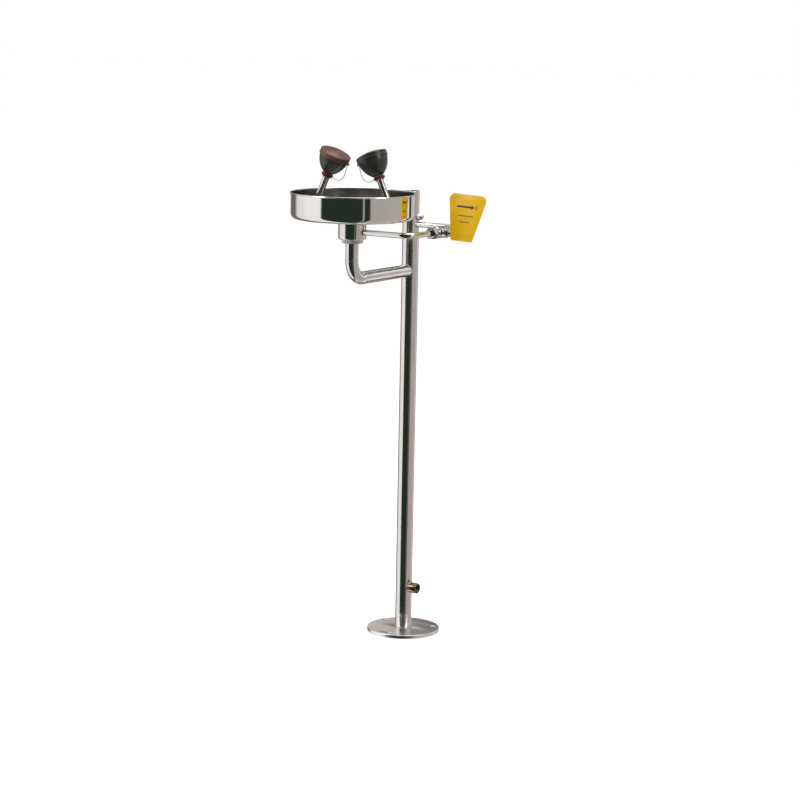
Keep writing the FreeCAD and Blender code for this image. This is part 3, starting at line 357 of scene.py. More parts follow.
def cut_plate(name, thickness, edge, draw, matrix=None):
    """A flat plate from the outlines that draw adds to a curve, its edges rounded by edge.
    It lies on z = 0 to thickness, and the matrix then puts it in its place."""
    curve = bpy.data.curves.new(name, "CURVE")
    curve.dimensions = "2D"
    curve.fill_mode = "BOTH"
    curve.extrude = thickness / 2 - edge
    curve.bevel_depth = edge
    curve.bevel_resolution = 2
    curve.offset = -edge
    draw(curve)
    holder = bpy.data.objects.new(name, curve)
    bpy.context.scene.collection.objects.link(holder)
    bpy.context.view_layer.update()
    mesh = bpy.data.meshes.new_from_object(holder.evaluated_get(bpy.context.evaluated_depsgraph_get()))
    bpy.data.objects.remove(holder)
    bpy.data.curves.remove(curve)
    place = np.empty(len(mesh.vertices) * 3)
    mesh.vertices.foreach_get("co", place)
    place = place.reshape(-1, 3)
    place[:, 2] += thickness / 2
    mesh.vertices.foreach_set("co", place.ravel())
    while mesh.uv_layers:
        mesh.uv_layers.remove(mesh.uv_layers[0])
    flat_uv(mesh, place)
    if matrix is not None:
        mesh.transform(matrix)
    return tidy_mesh(mesh, 40)


def flat_uv(mesh, place):
    """UV in metres from each corner's x and y."""
    layer = mesh.uv_layers.new(name="UVMap")
    corner = np.empty(len(mesh.loops), dtype=np.int32)
    mesh.loops.foreach_get("vertex_index", corner)
    layer.data.foreach_set("uv", place[corner][:, :2].ravel())


def tidy_mesh(mesh, crease):
    """Join doubled points, turn the faces outwards by the sign of the enclosed volume, and shade
    smooth except at edges sharper than crease degrees."""
    work = bmesh.new()
    work.from_mesh(mesh)
    bmesh.ops.remove_doubles(work, verts=work.verts, dist=1e-6)
    bmesh.ops.recalc_face_normals(work, faces=work.faces)
    if work.calc_volume(signed=True) < 0:
        bmesh.ops.reverse_faces(work, faces=work.faces)
    work.to_mesh(mesh)
    work.free()
    mesh.shade_smooth()
    mesh.set_sharp_from_angle(angle=math.radians(crease))
    return mesh


base_low, base_high = (np.array(corner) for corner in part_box("base_plate"))
base_radius = (base_high[0] - base_low[0]) / 2
base_thickness = base_high[2] - base_low[2]
mounts = {mount["name"]: mount for mount in frame["record"]["mounts"]}
anchors = mounts["floor_bolts"]["dims"]
anchor_turn = math.radians(36.0)


satin_steel = polished_metal("satin_steel", (0.90, 0.87, 0.85), (0.98, 0.97, 0.97), 0.24, 0.9, 0.9, False)


def base_outline(curve):
    """Rim, waste outlet and the three anchor holes."""
    circle_spline(curve, (0, 0), base_radius)
    circle_spline(curve, (0, 0), mounts["waste_outlet"]["dims"]["r_mm"] / 1000)
    for i in range(anchors["count"]):
        angle = anchor_turn + 2 * math.pi * i / anchors["count"]
        reach = anchors["pcd_mm"] / 2000
        circle_spline(curve, (reach * math.cos(angle), reach * math.sin(angle)),
                      anchors["hole_r_mm"] / 1000)


add_piece("floor_plate", cut_plate("floor_plate", base_thickness, 0.0012, base_outline), "station",
          "base_plate", satin_steel)


# ---- Column and lid -------------------------------------------------------------------------
# Upright tube of buffed stainless welded to the plate, closed by a flat lid with a plug; the
# seam between them and the weld at its foot are left showing.

def round_basis(axis):
    """Two unit directions square to an axis: the first is level, and the second points up if it can."""
    axis = np.array(axis, dtype=float) / np.linalg.norm(axis)
    helper = np.array((0, 0, 1.0)) if abs(axis[2]) < 0.9 else np.array((0, 1.0, 0))
    side = np.cross(helper, axis)
    side /= np.linalg.norm(side)
    return axis, side, np.cross(axis, side)


def spun(name, radius, reach, start, axis, loop=True, crease=32):
    """Surface over rows and angles: start + axis * reach + radius * (side * cos + up * sin), with
    radius and reach given for every row and angle."""
    axis, side, up = round_basis(axis)
    angle = np.linspace(0, 2 * math.pi, radius.shape[1], endpoint=False)
    round_part = side * np.cos(angle)[:, None] + up * np.sin(angle)[:, None]
    points = np.array(start) + axis * reach[:, :, None] + radius[:, :, None] * round_part[None]
    return grid_mesh(name, points, loop, 2 * math.pi * float(radius.max()), crease)


def lathe(name, profile, start, axis, columns=128, loop=True, crease=32):
    """Surface turned from a (radius, height) profile."""
    profile = np.asarray(profile, dtype=float)
    radius = np.repeat(profile[:, :1], columns, axis=1)
    reach = np.repeat(profile[:, 1:2], columns, axis=1)
    return spun(name, radius, reach, start, axis, loop, crease)


def grid_mesh(name, points, loop, girth, crease):
    """Quads over points[row, column], closed round the columns, and over the rows if loop is set.
    UV is the share of the girth in u and the distance along the rows in v, in metres."""
    rows, columns, _ = points.shape
    index = np.arange(rows * columns).reshape(rows, columns)
    edge = points[:, 0]
    step = np.linalg.norm(np.diff(edge, axis=0), axis=1)
    along = np.concatenate(([0.0], np.cumsum(step)))
    if loop:
        index = np.vstack((index, index[:1]))
        along = np.append(along, along[-1] + np.linalg.norm(edge[0] - edge[-1]))
    index = np.hstack((index, index[:, :1]))
    faces = np.stack((index[:-1, :-1], index[:-1, 1:], index[1:, 1:], index[1:, :-1]), axis=-1).reshape(-1,
                                                                                                        4)
    across = np.arange(columns + 1) * girth / columns
    u, v = np.meshgrid(across, along)
    uv = np.stack((u, v), axis=-1)
    corners = np.stack((uv[:-1, :-1], uv[:-1, 1:], uv[1:, 1:], uv[1:, :-1]), axis=2)
    mesh = bpy.data.meshes.new(name)
    mesh.from_pydata(points.reshape(-1, 3).tolist(), [], faces.tolist())
    layer = mesh.uv_layers.new(name="UVMap")
    layer.data.foreach_set("uv", corners.reshape(-1))
    return tidy_mesh(mesh, crease)


def rounded(corners, steps=5):
    """Closed outline from (radius, height, rounding) corners; each rounding is a tangent arc whose
    reach along both sides is rounding / tan(half the inside angle)."""
    corners = np.asarray(corners, dtype=float)
    parts = []
    for before, here, after in zip(np.roll(corners, 1, 0), corners, np.roll(corners, -1, 0)):
        if here[2] <= 0:
            parts.append(here[None, :2])
            continue
        back = (before - here)[:2]
        ahead = (after - here)[:2]
        back /= np.linalg.norm(back)
        ahead /= np.linalg.norm(ahead)
        half = math.acos(np.clip(back @ ahead, -1, 1)) / 2
        reach = here[2] / math.tan(half)
        middle = back + ahead
        middle /= np.linalg.norm(middle)
        centre = here[:2] + middle * here[2] / math.sin(half)
        first = here[:2] + back * reach - centre
        last = here[:2] + ahead * reach - centre
        sweep = math.acos(np.clip(first @ last / here[2] ** 2, -1, 1))
        share = np.linspace(0, 1, steps + 1)[:, None]
        arc = (np.sin((1 - share) * sweep) * first + np.sin(share * sweep) * last) / math.sin(sweep)
        parts.append(centre + arc)
    return np.vstack(parts)


def tube_shell(outer, inner, low, high, edge):
    """Outline of a tube's wall with its four edges rounded."""
    return rounded([(inner, low, edge), (outer, low, edge), (outer, high, edge), (inner, high, edge)], 3)


column_low, column_high = (np.array(corner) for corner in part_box("column_tube"))
column_radius = (column_high[0] - column_low[0]) / 2
column_bore = column_radius - 0.003
UP = (0, 0, 1)
SIDE = (1, 0, 0)
buffed_steel = polished_metal("buffed_steel", (0.66, 0.62, 0.58), (0.86, 0.82, 0.79), 0.09, 0.9, 0.9)

column_wall = tube_shell(column_radius, column_bore, column_low[2], column_high[2], 0.0004)
add_piece("column", lathe("column", column_wall, (0, 0, 0), UP), "station", "column_tube",
          buffed_steel)

lid_low, lid_high = (np.array(corner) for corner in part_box("column_cap"))
lid_plug = column_bore - 0.0001
lid_outline = rounded([(0.0, column_high[2] + 0.0004, 0), (lid_plug - 0.005, column_high[2] + 0.0004, 0),
                       (lid_plug - 0.005, lid_low[2], 0), (lid_plug, lid_low[2], 0.0006),
                       (lid_plug, column_high[2], 0), (column_radius, column_high[2], 0.0003),
                       (column_radius, lid_high[2], 0.0009), (0.0, lid_high[2], 0)])
add_piece("column_lid", lathe("column_lid", lid_outline, (0, 0, 0), UP), "station", "column_cap",
          mirror_steel)


def weld_material():
    """Bead of filler left as welded: straw to violet heat colour over dull steel."""
    material = bpy.data.materials.new("weld_bead")
    material.use_nodes = True
    nodes, links = material.node_tree.nodes, material.node_tree.links
    shader = nodes["Principled BSDF"]
    shader.inputs["Metallic"].default_value = 1.0
    place = nodes.new("ShaderNodeTexCoord")
    heat = noise(nodes, links, place.outputs["Object"], 90.0, 3.0)
    links.new(tone_mix(nodes, links, heat, (0.42, 0.38, 0.36), (0.70, 0.64, 0.58)),
              shader.inputs["Base Color"])
    soot = noise(nodes, links, place.outputs["Object"], 300.0, 2.0)
    links.new(maths(nodes, links, "ADD", maths(nodes, links, "MULTIPLY", soot, 0.25), 0.15),
              shader.inputs["Roughness"])
    links.new(bump(nodes, links, soot, 0.3, 0.0001), shader.inputs["Normal"])
    return material


WELD = weld_material()


def weld_bead(name, path, out, radius):
    """Closed bead round a joint: a tube along the path, its radius rippled by each drop of filler.
    out is the direction in which the section's first point lies."""
    path = np.asarray(path)
    along = np.roll(path, -1, 0) - np.roll(path, 1, 0)
    along /= np.linalg.norm(along, axis=1)[:, None]
    out = out / np.linalg.norm(out, axis=1)[:, None]
    other = np.cross(along, out)
    length = np.linalg.norm(np.roll(path, -1, 0) - path, axis=1).sum()
    drops = round(length / (1.4 * radius))
    phase = np.linspace(0, 2 * math.pi * drops, len(path), endpoint=False)
    size = radius * (0.92 + 0.08 * np.abs(np.sin(phase / 2)))
    angle = np.linspace(0, 2 * math.pi, 10, endpoint=False)
    section = out[:, None] * np.cos(angle)[None, :, None] + other[:, None] * np.sin(angle)[None, :, None]
    points = path[:, None] + section * size[:, None, None]
    mesh = grid_mesh(name, points, True, 2 * math.pi * radius, 60)
    return add_piece(name, mesh, "station", None, WELD)


def ring_path(centre, axis_u, axis_v, radius, count):
    """Points round a circle in the plane of two unit directions, and their outward directions."""
    angle = np.linspace(0, 2 * math.pi, count, endpoint=False)[:, None]
    out = np.array(axis_u) * np.cos(angle) + np.array(axis_v) * np.sin(angle)
    return np.array(centre) + out * radius, out


foot_path, foot_out = ring_path((0, 0, column_low[2] + 0.0006), (1, 0, 0), (0, 1, 0), column_radius, 720)
weld_bead("weld_foot", foot_path, foot_out, 0.0014)


# ---- Water inlet ----------------------------------------------------------------------------
# Half coupling coped and welded to the foot of the column, with a tapping for the building's
# pipe; heat from the weld has left it golden brown.

def coped(name, profile, root, forward, columns=96, thread=None, crease=32):
    """Tube standing off the column from (radius, reach) rows.  A row with no reach is coped, so it
    starts at sqrt(column radius^2 - (radius * cos(angle))^2).  A thread (first row, end row, pitch,
    depth) widens its rows by depth * (1 + cos(2 pi * (reach / pitch - angle / 2 pi))) / 2."""
    profile = np.asarray(profile, dtype=float)
    angle = np.linspace(0, 2 * math.pi, columns, endpoint=False)[None]
    radius = np.repeat(profile[:, :1], columns, axis=1)
    reach = np.repeat(profile[:, 1:2], columns, axis=1)
    saddle = np.sqrt(column_radius ** 2 - (radius * np.cos(angle)) ** 2)
    reach = np.where(np.isnan(reach), saddle, reach)
    if thread:
        first, end, pitch, depth = thread
        turn = reach[first:end] / pitch * 2 * math.pi - angle
        radius[first:end] += depth * (1 + np.cos(turn)) / 2
    return spun(name, radius, reach, root, forward, True, crease)


inlet_low, inlet_high = (np.array(corner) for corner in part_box("inlet_socket"))
inlet_mount = mounts["inlet_thread"]
inlet_root = (0, 0, (inlet_low[2] + inlet_high[2]) / 2)
socket_radius = (inlet_high[2] - inlet_low[2]) / 2
thread_radius = inlet_mount["dims"]["r_mm"] / 1000
thread_start = inlet_high[0] - inlet_mount["dims"]["length_mm"] / 1000
riser_fit = 0.00645
riser_bore = 0.00515
thread_pitch = 0.001814
thread_rows = [(thread_radius, reach) for reach in np.linspace(thread_start + 0.0012,
                                                               inlet_high[0] - 0.0012, 84)]
socket_rows = ([(riser_fit, np.nan), (riser_fit, thread_start - 0.002), (riser_bore, thread_start - 0.002),
                (riser_bore, thread_start), (thread_radius, thread_start)] + thread_rows
               + [(thread_radius + 0.0006, inlet_high[0]), (socket_radius - 0.001, inlet_high[0]),
                  (socket_radius - 0.0003, inlet_high[0] - 0.0003), (socket_radius, inlet_high[0] - 0.001),
                  (socket_radius, np.nan)])
golden_steel = polished_metal("heat_tinted_steel", (0.16, 0.11, 0.07), (0.38, 0.28, 0.18), 0.16, 0.8, 1.6)
add_piece("inlet_coupling", coped("inlet_coupling", socket_rows, inlet_root, SIDE,
                                  thread=(5, 5 + len(thread_rows), thread_pitch, 0.0009), crease=50),
          "station", "inlet_socket", golden_steel)


def saddle_path(root, forward, radius, count=480):
    """Curve where a round tube meets the column, and the directions square to both."""
    forward, side, up = round_basis(forward)
    angle = np.linspace(0, 2 * math.pi, count, endpoint=False)[:, None]
    across = radius * np.cos(angle)
    out = side * np.cos(angle) + up * np.sin(angle)
    path = np.array(root) + forward * np.sqrt(column_radius ** 2 - across ** 2) + radius * out
    return path, out + forward


inlet_path, inlet_out = saddle_path(inlet_root, SIDE, socket_radius)
weld_bead("weld_inlet", inlet_path, inlet_out, 0.0012)


# ---- Waste arm, elbow and riser -------------------------------------------------------------
# Tube coped to the column, a drawn quarter bend and an upright tube, butt welded end to end and
# dressed flush, so that only thin seams show.

def bent_line(points, bend, steps=20):
    """Straight runs joined by arcs of one radius: each arc is centre + first * cos + second * sin."""
    points = np.asarray(points, dtype=float)
    line = [points[:1]]
    for before, corner, after in zip(points, points[1:], points[2:]):
        back = (before - corner) / np.linalg.norm(before - corner)
        ahead = (after - corner) / np.linalg.norm(after - corner)
        half = math.acos(np.clip(back @ ahead, -1, 1)) / 2
        enter = corner + back * bend / math.tan(half)
        middle = (back + ahead) / np.linalg.norm(back + ahead)
        centre = corner + middle * bend / math.sin(half)
        first = (enter - centre) / bend
        second = -back
        turn = np.linspace(0, math.pi - 2 * half, steps + 1)[:, None]
        line.append(centre + bend * (first * np.cos(turn) + second * np.sin(turn)))
    line.append(points[-1:])
    line = np.vstack(line)
    apart = np.linalg.norm(np.diff(line, axis=0), axis=1) > 1e-7
    return line[np.append(True, apart)]


def sleeve(line, radius, normal, columns):
    """Rings of points round a flat line; normal is square to the line's plane."""
    along = np.gradient(line, axis=0)
    along /= np.linalg.norm(along, axis=1)[:, None]
    normal = np.array(normal, dtype=float)
    across = np.cross(normal, along)
    angle = np.linspace(0, 2 * math.pi, columns, endpoint=False)
    section = across[:, None] * np.cos(angle)[None, :, None] + normal * np.sin(angle)[None, :, None]
    return line[:, None] + section * np.broadcast_to(radius, (len(line),))[:, None, None]


def fine_line(line, gap):
    """The same line with its long runs divided about every gap."""
    step = np.linalg.norm(np.diff(line, axis=0), axis=1)
    place = np.concatenate(([0], np.cumsum(step)))
    parts = [np.linspace(a, b, max(1, math.ceil((b - a) / gap)), endpoint=False) for a,
             b in zip(place, place[1:])]
    at = np.append(np.concatenate(parts), place[-1])
    return np.stack([np.interp(at, place, line[:, k]) for k in range(3)], axis=1)


def tube(name, points, bend, outer, wall, normal, columns=64):
    """Round tube along bent runs: its outside, its end faces and its bore as one closed grid."""
    line = fine_line(bent_line(points, bend) if bend else np.asarray(points, dtype=float), 0.012)
    outside = sleeve(line, outer, normal, columns)
    inside = sleeve(line, outer - wall, normal, columns)[::-1]
    return grid_mesh(name, np.concatenate((outside, inside)), True, 2 * math.pi * outer, 40)


bowl_low, bowl_high = (np.array(corner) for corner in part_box("bowl"))
bowl_middle = (bowl_low + bowl_high) / 2
arm_low, arm_high = (np.array(corner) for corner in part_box("drain_arm"))
waste_riser_low, waste_riser_high = (np.array(corner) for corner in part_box("drain_riser"))
waste_radius = (waste_riser_high[0] - waste_riser_low[0]) / 2
waste_wall = 0.0015
waste_bend = waste_riser_low[2] - (arm_low[2] + arm_high[2]) / 2
arm_root = (0, 0, (arm_low[2] + arm_high[2]) / 2)
arm_end = -arm_low[1]
FORWARD = (0, -1, 0)
tube_steel = polished_metal("tube_steel", (0.62, 0.60, 0.58), (0.82, 0.81, 0.80), 0.05, 1.0, 1.0)

arm_rows = [(waste_radius, np.nan)] + [(waste_radius, reach) for reach in np.linspace(0.03, arm_end, 12)]
arm_rows += [(waste_radius - waste_wall, arm_end), (waste_radius - waste_wall, np.nan)]
add_piece("waste_arm", coped("waste_arm", arm_rows, arm_root, FORWARD), "station", "drain_arm",
          tube_steel)
elbow_start = np.array((0, -arm_end, arm_root[2]))
elbow_corner = np.array((0, bowl_middle[1], arm_root[2]))
elbow_end = np.array((0, bowl_middle[1], waste_riser_low[2]))
add_piece("waste_elbow", tube("waste_elbow", (elbow_start, elbow_corner, elbow_end), waste_bend,
                              waste_radius,
                              waste_wall, SIDE, 96), "station", "drain_elbow", tube_steel)
riser_top = elbow_end + np.array((0, 0, waste_riser_high[2] - waste_riser_low[2]))
add_piece("waste_riser", tube("waste_riser", (elbow_end, riser_top), 0, waste_radius, waste_wall, SIDE, 96),
          "station", "drain_riser", tube_steel)
saddle, saddle_out = saddle_path(arm_root, FORWARD, waste_radius)
weld_bead("weld_arm", saddle, saddle_out, 0.0011)
seam_path, seam_out = ring_path(elbow_start, (1, 0, 0), (0, 0, 1), waste_radius - 0.0003, 480)
weld_bead("weld_arm_end", seam_path, seam_out, 0.0006)
seam_path, seam_out = ring_path(elbow_end, (1, 0, 0), (0, 1, 0), waste_radius - 0.0003, 480)
weld_bead("weld_riser_foot", seam_path, seam_out, 0.0006)


# ---- Waste body and its collar --------------------------------------------------------------
# Turned stainless drum under the bowl.  A knurled ring nut draws a rubber seal up round the
# riser; a thin flat gasket keeps the drum off the sheet.

drum_low, drum_high = (np.array(corner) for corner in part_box("drain_body"))
nut_low, nut_high = (np.array(corner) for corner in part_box("collar_nut"))
drum_radius = (drum_high[0] - drum_low[0]) / 2
drum_foot = nut_high[2]
drum_middle = (0, bowl_middle[1], 0)
riser_fit_radius = waste_radius + 0.0001
drum_outline = rounded([(riser_fit_radius, drum_low[2], 0), (0.019, drum_low[2], 0.0003),
                        (0.019, drum_foot, 0.0004), (drum_radius, drum_foot, 0.004),
                        (drum_radius, drum_high[2], 0.004), (0.0201, drum_high[2], 0.0003),
                        (0.0201, drum_high[2] - 0.005, 0), (0.0275, drum_high[2] - 0.005, 0),
                        (0.0275, drum_foot + 0.0035, 0.002), (riser_fit_radius, drum_foot + 0.0035, 0)], 8)
add_piece("waste_body", lathe("waste_body", drum_outline, drum_middle, UP, 160), "station", "drain_body",
          buffed_steel)


def ribbed(name, profile, start, axis, count, depth, low, high, columns=240):
    """Turned piece with grip ribs: between two heights its outside radius is cut back by depth *
    (1 + cos(count * angle)) / 2, and the cut fades out over a tenth of the height at each end."""
    profile = np.asarray(profile, dtype=float)
    angle = np.linspace(0, 2 * math.pi, columns, endpoint=False)[None]
    outside = profile[:, :1] > 0.93 * profile[:, 0].max()
    height = (profile[:, 1:2] - low) / (high - low)
    fade = np.clip(np.minimum(height, 1 - height) * 10, 0, 1) * outside
    radius = profile[:, :1] - depth * (1 + np.cos(count * angle)) / 2 * fade
    reach = np.repeat(profile[:, 1:2], columns, axis=1)
    return spun(name, radius, reach, start, axis, True, 50)


def side_rows(radius, low, high, count):
    """Extra (radius, height, rounding) corners up a straight side, so that ribs have rows to shape."""
    return [(radius, height, 0) for height in np.linspace(low, high, count)]


nut_radius = (nut_high[0] - nut_low[0]) / 2
nut_bore = waste_radius + 0.0003
nut_outline = rounded([(nut_bore, nut_low[2], 0.0003), (nut_radius, nut_low[2], 0.001)]
                      + side_rows(nut_radius, nut_low[2] + 0.0012, nut_high[2] - 0.0006, 12)
                      + [(nut_radius, nut_high[2], 0.0003), (0.0191, nut_high[2], 0),
                         (0.0191, nut_low[2] + 0.002, 0), (nut_bore, nut_low[2] + 0.002, 0)], 4)
add_piece("waste_collar", ribbed("waste_collar", nut_outline, drum_middle, UP, 40, 0.0007, nut_low[2],
                                 nut_high[2], 480), "station", "collar_nut", tube_steel)


def keep_node(node, material):
    """Give a CAD node that keeps its shape its finish."""
    for place in frame["nodes"][node].material_slots:
        place.material = material


def shaded_plastic(name, dark, light, roughness, coat, peel):
    """Moulded surface: mottled colour, faint orange peel and fine handling scratches."""
    material = bpy.data.materials.new(name)
    material.use_nodes = True
    nodes, links = material.node_tree.nodes, material.node_tree.links
    shader = nodes["Principled BSDF"]
    shader.inputs["Coat Weight"].default_value = coat
    shader.inputs["Coat Roughness"].default_value = 0.06
    place = nodes.new("ShaderNodeTexCoord")
    skin = nodes.new("ShaderNodeGroup")
    skin.node_tree = MOULDED
    links.new(place.outputs["Object"], skin.inputs["Vector"])
    links.new(tone_mix(nodes, links, skin.outputs["Mottle"], dark, light), shader.inputs["Base Color"])
    links.new(maths(nodes, links, "ADD", maths(nodes, links, "MULTIPLY", skin.outputs["Scuff"], 0.28),
                    roughness),
              shader.inputs["Roughness"])
    links.new(bump(nodes, links, skin.outputs["Peel"], peel, 0.0002), shader.inputs["Normal"])
    return material


def moulded_group():
    """Mottle, scuffs and orange peel of a moulded part, from object position in metres."""
    group, source, out = node_group("moulded_skin", [("Vector", "vector", None)],
                                    [("Mottle", "float"), ("Scuff", "float"), ("Peel", "float")])
    nodes, links = group.nodes, group.links
    vector = source.outputs["Vector"]
    links.new(noise(nodes, links, vector, 70.0, 4.0, 0.6), out.inputs["Mottle"])
    peel = noise(nodes, links, vector, 900.0, 2.0, 0.5)
    links.new(peel, out.inputs["Peel"])
    hair = nodes.new("ShaderNodeTexVoronoi")
    hair.feature = "DISTANCE_TO_EDGE"
    hair.inputs["Scale"].default_value = 130.0
    links.new(vector, hair.inputs["Vector"])
    line = nodes.new("ShaderNodeMapRange")
    line.inputs["From Max"].default_value = 0.03
    line.inputs["To Min"].default_value = 1.0
    line.inputs["To Max"].default_value = 0.0
    links.new(hair.outputs["Distance"], line.inputs["Value"])
    patch = noise(nodes, links, vector, 45.0, 3.0, 0.6)
    scuff = maths(nodes, links, "MULTIPLY", line.outputs["Result"], patch)
    links.new(maths(nodes, links, "ADD", scuff, maths(nodes, links, "MULTIPLY", patch, 0.35)),
              out.inputs["Scuff"])
    return group


MOULDED = moulded_group()
black_rubber = shaded_plastic("black_rubber", (0.012, 0.012, 0.012), (0.03, 0.03, 0.029), 0.55, 0.0, 0.5)
for node in ("collar_seal", "bowl_gasket"):
    keep_node(node, black_rubber)


# ---- Bowl and its waste flange --------------------------------------------------------------
# Bowl spun from thin stainless sheet: a flat middle, a floor that rises outwards, a rounded
# corner and a rolled rim.  A screwed flange with a perforated strainer clamps its middle.

def arc_through(first, middle, last, steps):
    """Points on the circle through three points: centre + radius * (cos, sin) of an even sweep."""
    (ax, ay), (bx, by), (cx, cy) = first, middle, last
    d = 2 * (ax * (by - cy) + bx * (cy - ay) + cx * (ay - by))
    a2, b2, c2 = ax * ax + ay * ay, bx * bx + by * by, cx * cx + cy * cy
    centre = np.array(((a2 * (by - cy) + b2 * (cy - ay) + c2 * (ay - by)) / d,
                       (a2 * (cx - bx) + b2 * (ax - cx) + c2 * (bx - ax)) / d))
    start, through, end = (math.atan2(y - centre[1], x - centre[0]) for x, y in (first, middle, last))
    forward = (end - start) % (2 * math.pi)
    if (through - start) % (2 * math.pi) > forward:
        forward -= 2 * math.pi
    radius = math.hypot(ax - centre[0], ay - centre[1])
    sweep = start + forward * np.linspace(0, 1, steps + 1)
    return centre + radius * np.stack((np.cos(sweep), np.sin(sweep)), axis=1)


def straight(first, last, steps):
    """Evenly spaced points from first up to, but not including, last."""
    share = np.linspace(0, 1, steps, endpoint=False)[:, None]
    return np.array(first) * (1 - share) + np.array(last) * share


sheet = 0.0008
roll = 0.0014
wall_outer = (bowl_high[0] - bowl_low[0]) / 2 - 2 * roll + sheet
wall_inner = wall_outer - sheet
corner_radius = 0.012
floor_edge = wall_outer - corner_radius
floor_rise = 0.0035
bowl_flat = 0.034
bowl_floor = bowl_low[2]
corner_height = bowl_floor + floor_rise + corner_radius
roll_height = bowl_high[2] - roll
bowl_hole = 0.0206
cut = math.sqrt(0.5)
bowl_rows = np.vstack([
    straight((bowl_hole, bowl_floor), (bowl_flat, bowl_floor), 3),
    straight((bowl_flat, bowl_floor), (floor_edge, bowl_floor + floor_rise), 10),
    arc_through((floor_edge, bowl_floor + floor_rise),
                (floor_edge + corner_radius * cut, corner_height - corner_radius * cut),
                (wall_outer, corner_height), 16),
    straight((wall_outer, corner_height), (wall_outer, roll_height - roll), 8)[1:],
    arc_through((wall_outer, roll_height - 0.4 * roll), (wall_outer + roll, roll_height - 1.3 * roll),
                (wall_inner + 2 * roll, roll_height), 8),
    arc_through((wall_inner + 2 * roll, roll_height), (wall_inner + roll, bowl_high[2]),
                (wall_inner, roll_height), 14)[1:],
    straight((wall_inner, roll_height), (wall_inner, corner_height), 8)[1:],
    arc_through((wall_inner, corner_height),
                (floor_edge + (corner_radius - sheet) * cut, corner_height - (corner_radius - sheet) * cut),
                (floor_edge, bowl_floor + floor_rise + sheet), 16),
    straight((floor_edge, bowl_floor + floor_rise + sheet), (bowl_flat, bowl_floor + sheet), 10)[1:],
    straight((bowl_flat, bowl_floor + sheet), (bowl_hole, bowl_floor + sheet), 3),
    [(bowl_hole, bowl_floor + sheet)]])
bowl_mesh = lathe("spun_bowl", bowl_rows, drum_middle, UP, 320, crease=60)
add_piece("spun_bowl", bowl_mesh, "station", "bowl", mirror_steel)
# The faces inside the bowl take a second, rougher copy of the steel; its much darker colour is painted shade for
# the inside of the bowl.
shaded_inside_steel = polished_metal("shaded_inside_steel", (0.27, 0.255, 0.24), (0.43, 0.415, 0.40), 0.16, 0.8, 0.6)
bowl_mesh.materials.append(shaded_inside_steel)
facing = np.empty(len(bowl_mesh.polygons) * 3)
centres = np.empty_like(facing)
bowl_mesh.polygons.foreach_get("normal", facing)
bowl_mesh.polygons.foreach_get("center", centres)
facing, centres = facing.reshape(-1, 3), centres.reshape(-1, 3) - (0, bowl_middle[1], 0)
# Painted shade mask: faces turned towards the axis or upwards, between the bowl's floor and its roll, take the
# darker steel.
inward = (facing[:, :2] * centres[:, :2]).sum(axis=1) < 0
faces_up = facing[:, 2] > 0.3
inside = (inward | faces_up) & (centres[:, 2] > bowl_floor + sheet / 2) & (centres[:, 2] < roll_height)
bowl_mesh.polygons.foreach_set("material_index", inside.astype(np.int32))

keep_node("flange_washer", black_rubber)
flange_low, flange_high = (np.array(corner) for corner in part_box("waste_flange"))
strainer_low, strainer_high = (np.array(corner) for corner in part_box("strainer"))
flange_radius = (flange_high[0] - flange_low[0]) / 2
neck_radius = 0.020
neck_bore = 0.0155
strainer_seat = (strainer_high[0] - strainer_low[0]) / 2 + 0.0001
flange_outline = rounded([(neck_bore, flange_low[2], 0), (neck_radius, flange_low[2], 0.0004),
                          (neck_radius, flange_high[2] - 0.002, 0),
                          (flange_radius, flange_high[2] - 0.002, 0),
                          (flange_radius, flange_high[2], 0.0009), (strainer_seat, flange_high[2], 0.0003),
                          (strainer_seat, strainer_low[2], 0), (neck_bore, strainer_low[2], 0)], 4)
add_piece("waste_flange_ring", lathe("waste_flange_ring", flange_outline, drum_middle, UP), "station",
          "waste_flange", buffed_steel)


def strainer_outline(curve):
    """Disc with the standpipe's hole and a ring of eleven drain holes."""
    circle_spline(curve, (0, 0), strainer_seat - 0.0001)
    circle_spline(curve, (0, 0), 0.0081)
    for i in range(11):
        angle = 2 * math.pi * i / 11
        circle_spline(curve, (0.01175 * math.cos(angle), 0.01175 * math.sin(angle)), 0.0017)


strainer_place = Matrix.Translation((0, bowl_middle[1], strainer_low[2]))
add_piece("strainer_disc", cut_plate("strainer_disc", strainer_high[2] - strainer_low[2], 0.0002,
                                     strainer_outline, strainer_place), "station", "strainer",
          tube_steel)


# ---- Supply pipes ---------------------------------------------------------------------------
# Bent stainless tube: one from the column round to the back of the valve, one from its front
# into the drum.  The riser inside the column and the elbow inside the drum are hidden.

hinges = {joint["name"]: joint for joint in frame["joints"]}
valve = np.array(hinges["push_paddle"]["pos_m"])
rear_low = np.array(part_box("rear_supply_pipe")[0])
front_low = np.array(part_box("front_supply_pipe")[0])
supply_radius = 0.00635
supply_wall = 0.0012
supply_bend = 0.025
collar_length = 0.0019
for node in ("supply_riser", "supply_elbow"):
    keep_node(node, tube_steel)


def joined(name, meshes):
    """Several closed meshes kept together as one piece."""
    work = bmesh.new()
    for mesh in meshes:
        work.from_mesh(mesh)
    whole = bpy.data.meshes.new(name)
    work.to_mesh(whole)
    work.free()
    for mesh in meshes:
        bpy.data.meshes.remove(mesh)
    return whole


def supply_pipe(name, points, collar_at, way):
    """Bent pipe with the loose collar that its union nut pulls on."""
    pipe = tube(name + "_run", points, supply_bend, supply_radius, supply_wall, UP, 72)
    ring = rounded([(supply_radius - 0.0004, 0, 0), (0.009, 0, 0.0003), (0.009, collar_length, 0.0003),
                    (supply_radius - 0.0004, collar_length, 0)], 3)
    return joined(name, [pipe, lathe(name + "_collar", ring, collar_at, (0, way, 0), 72)])


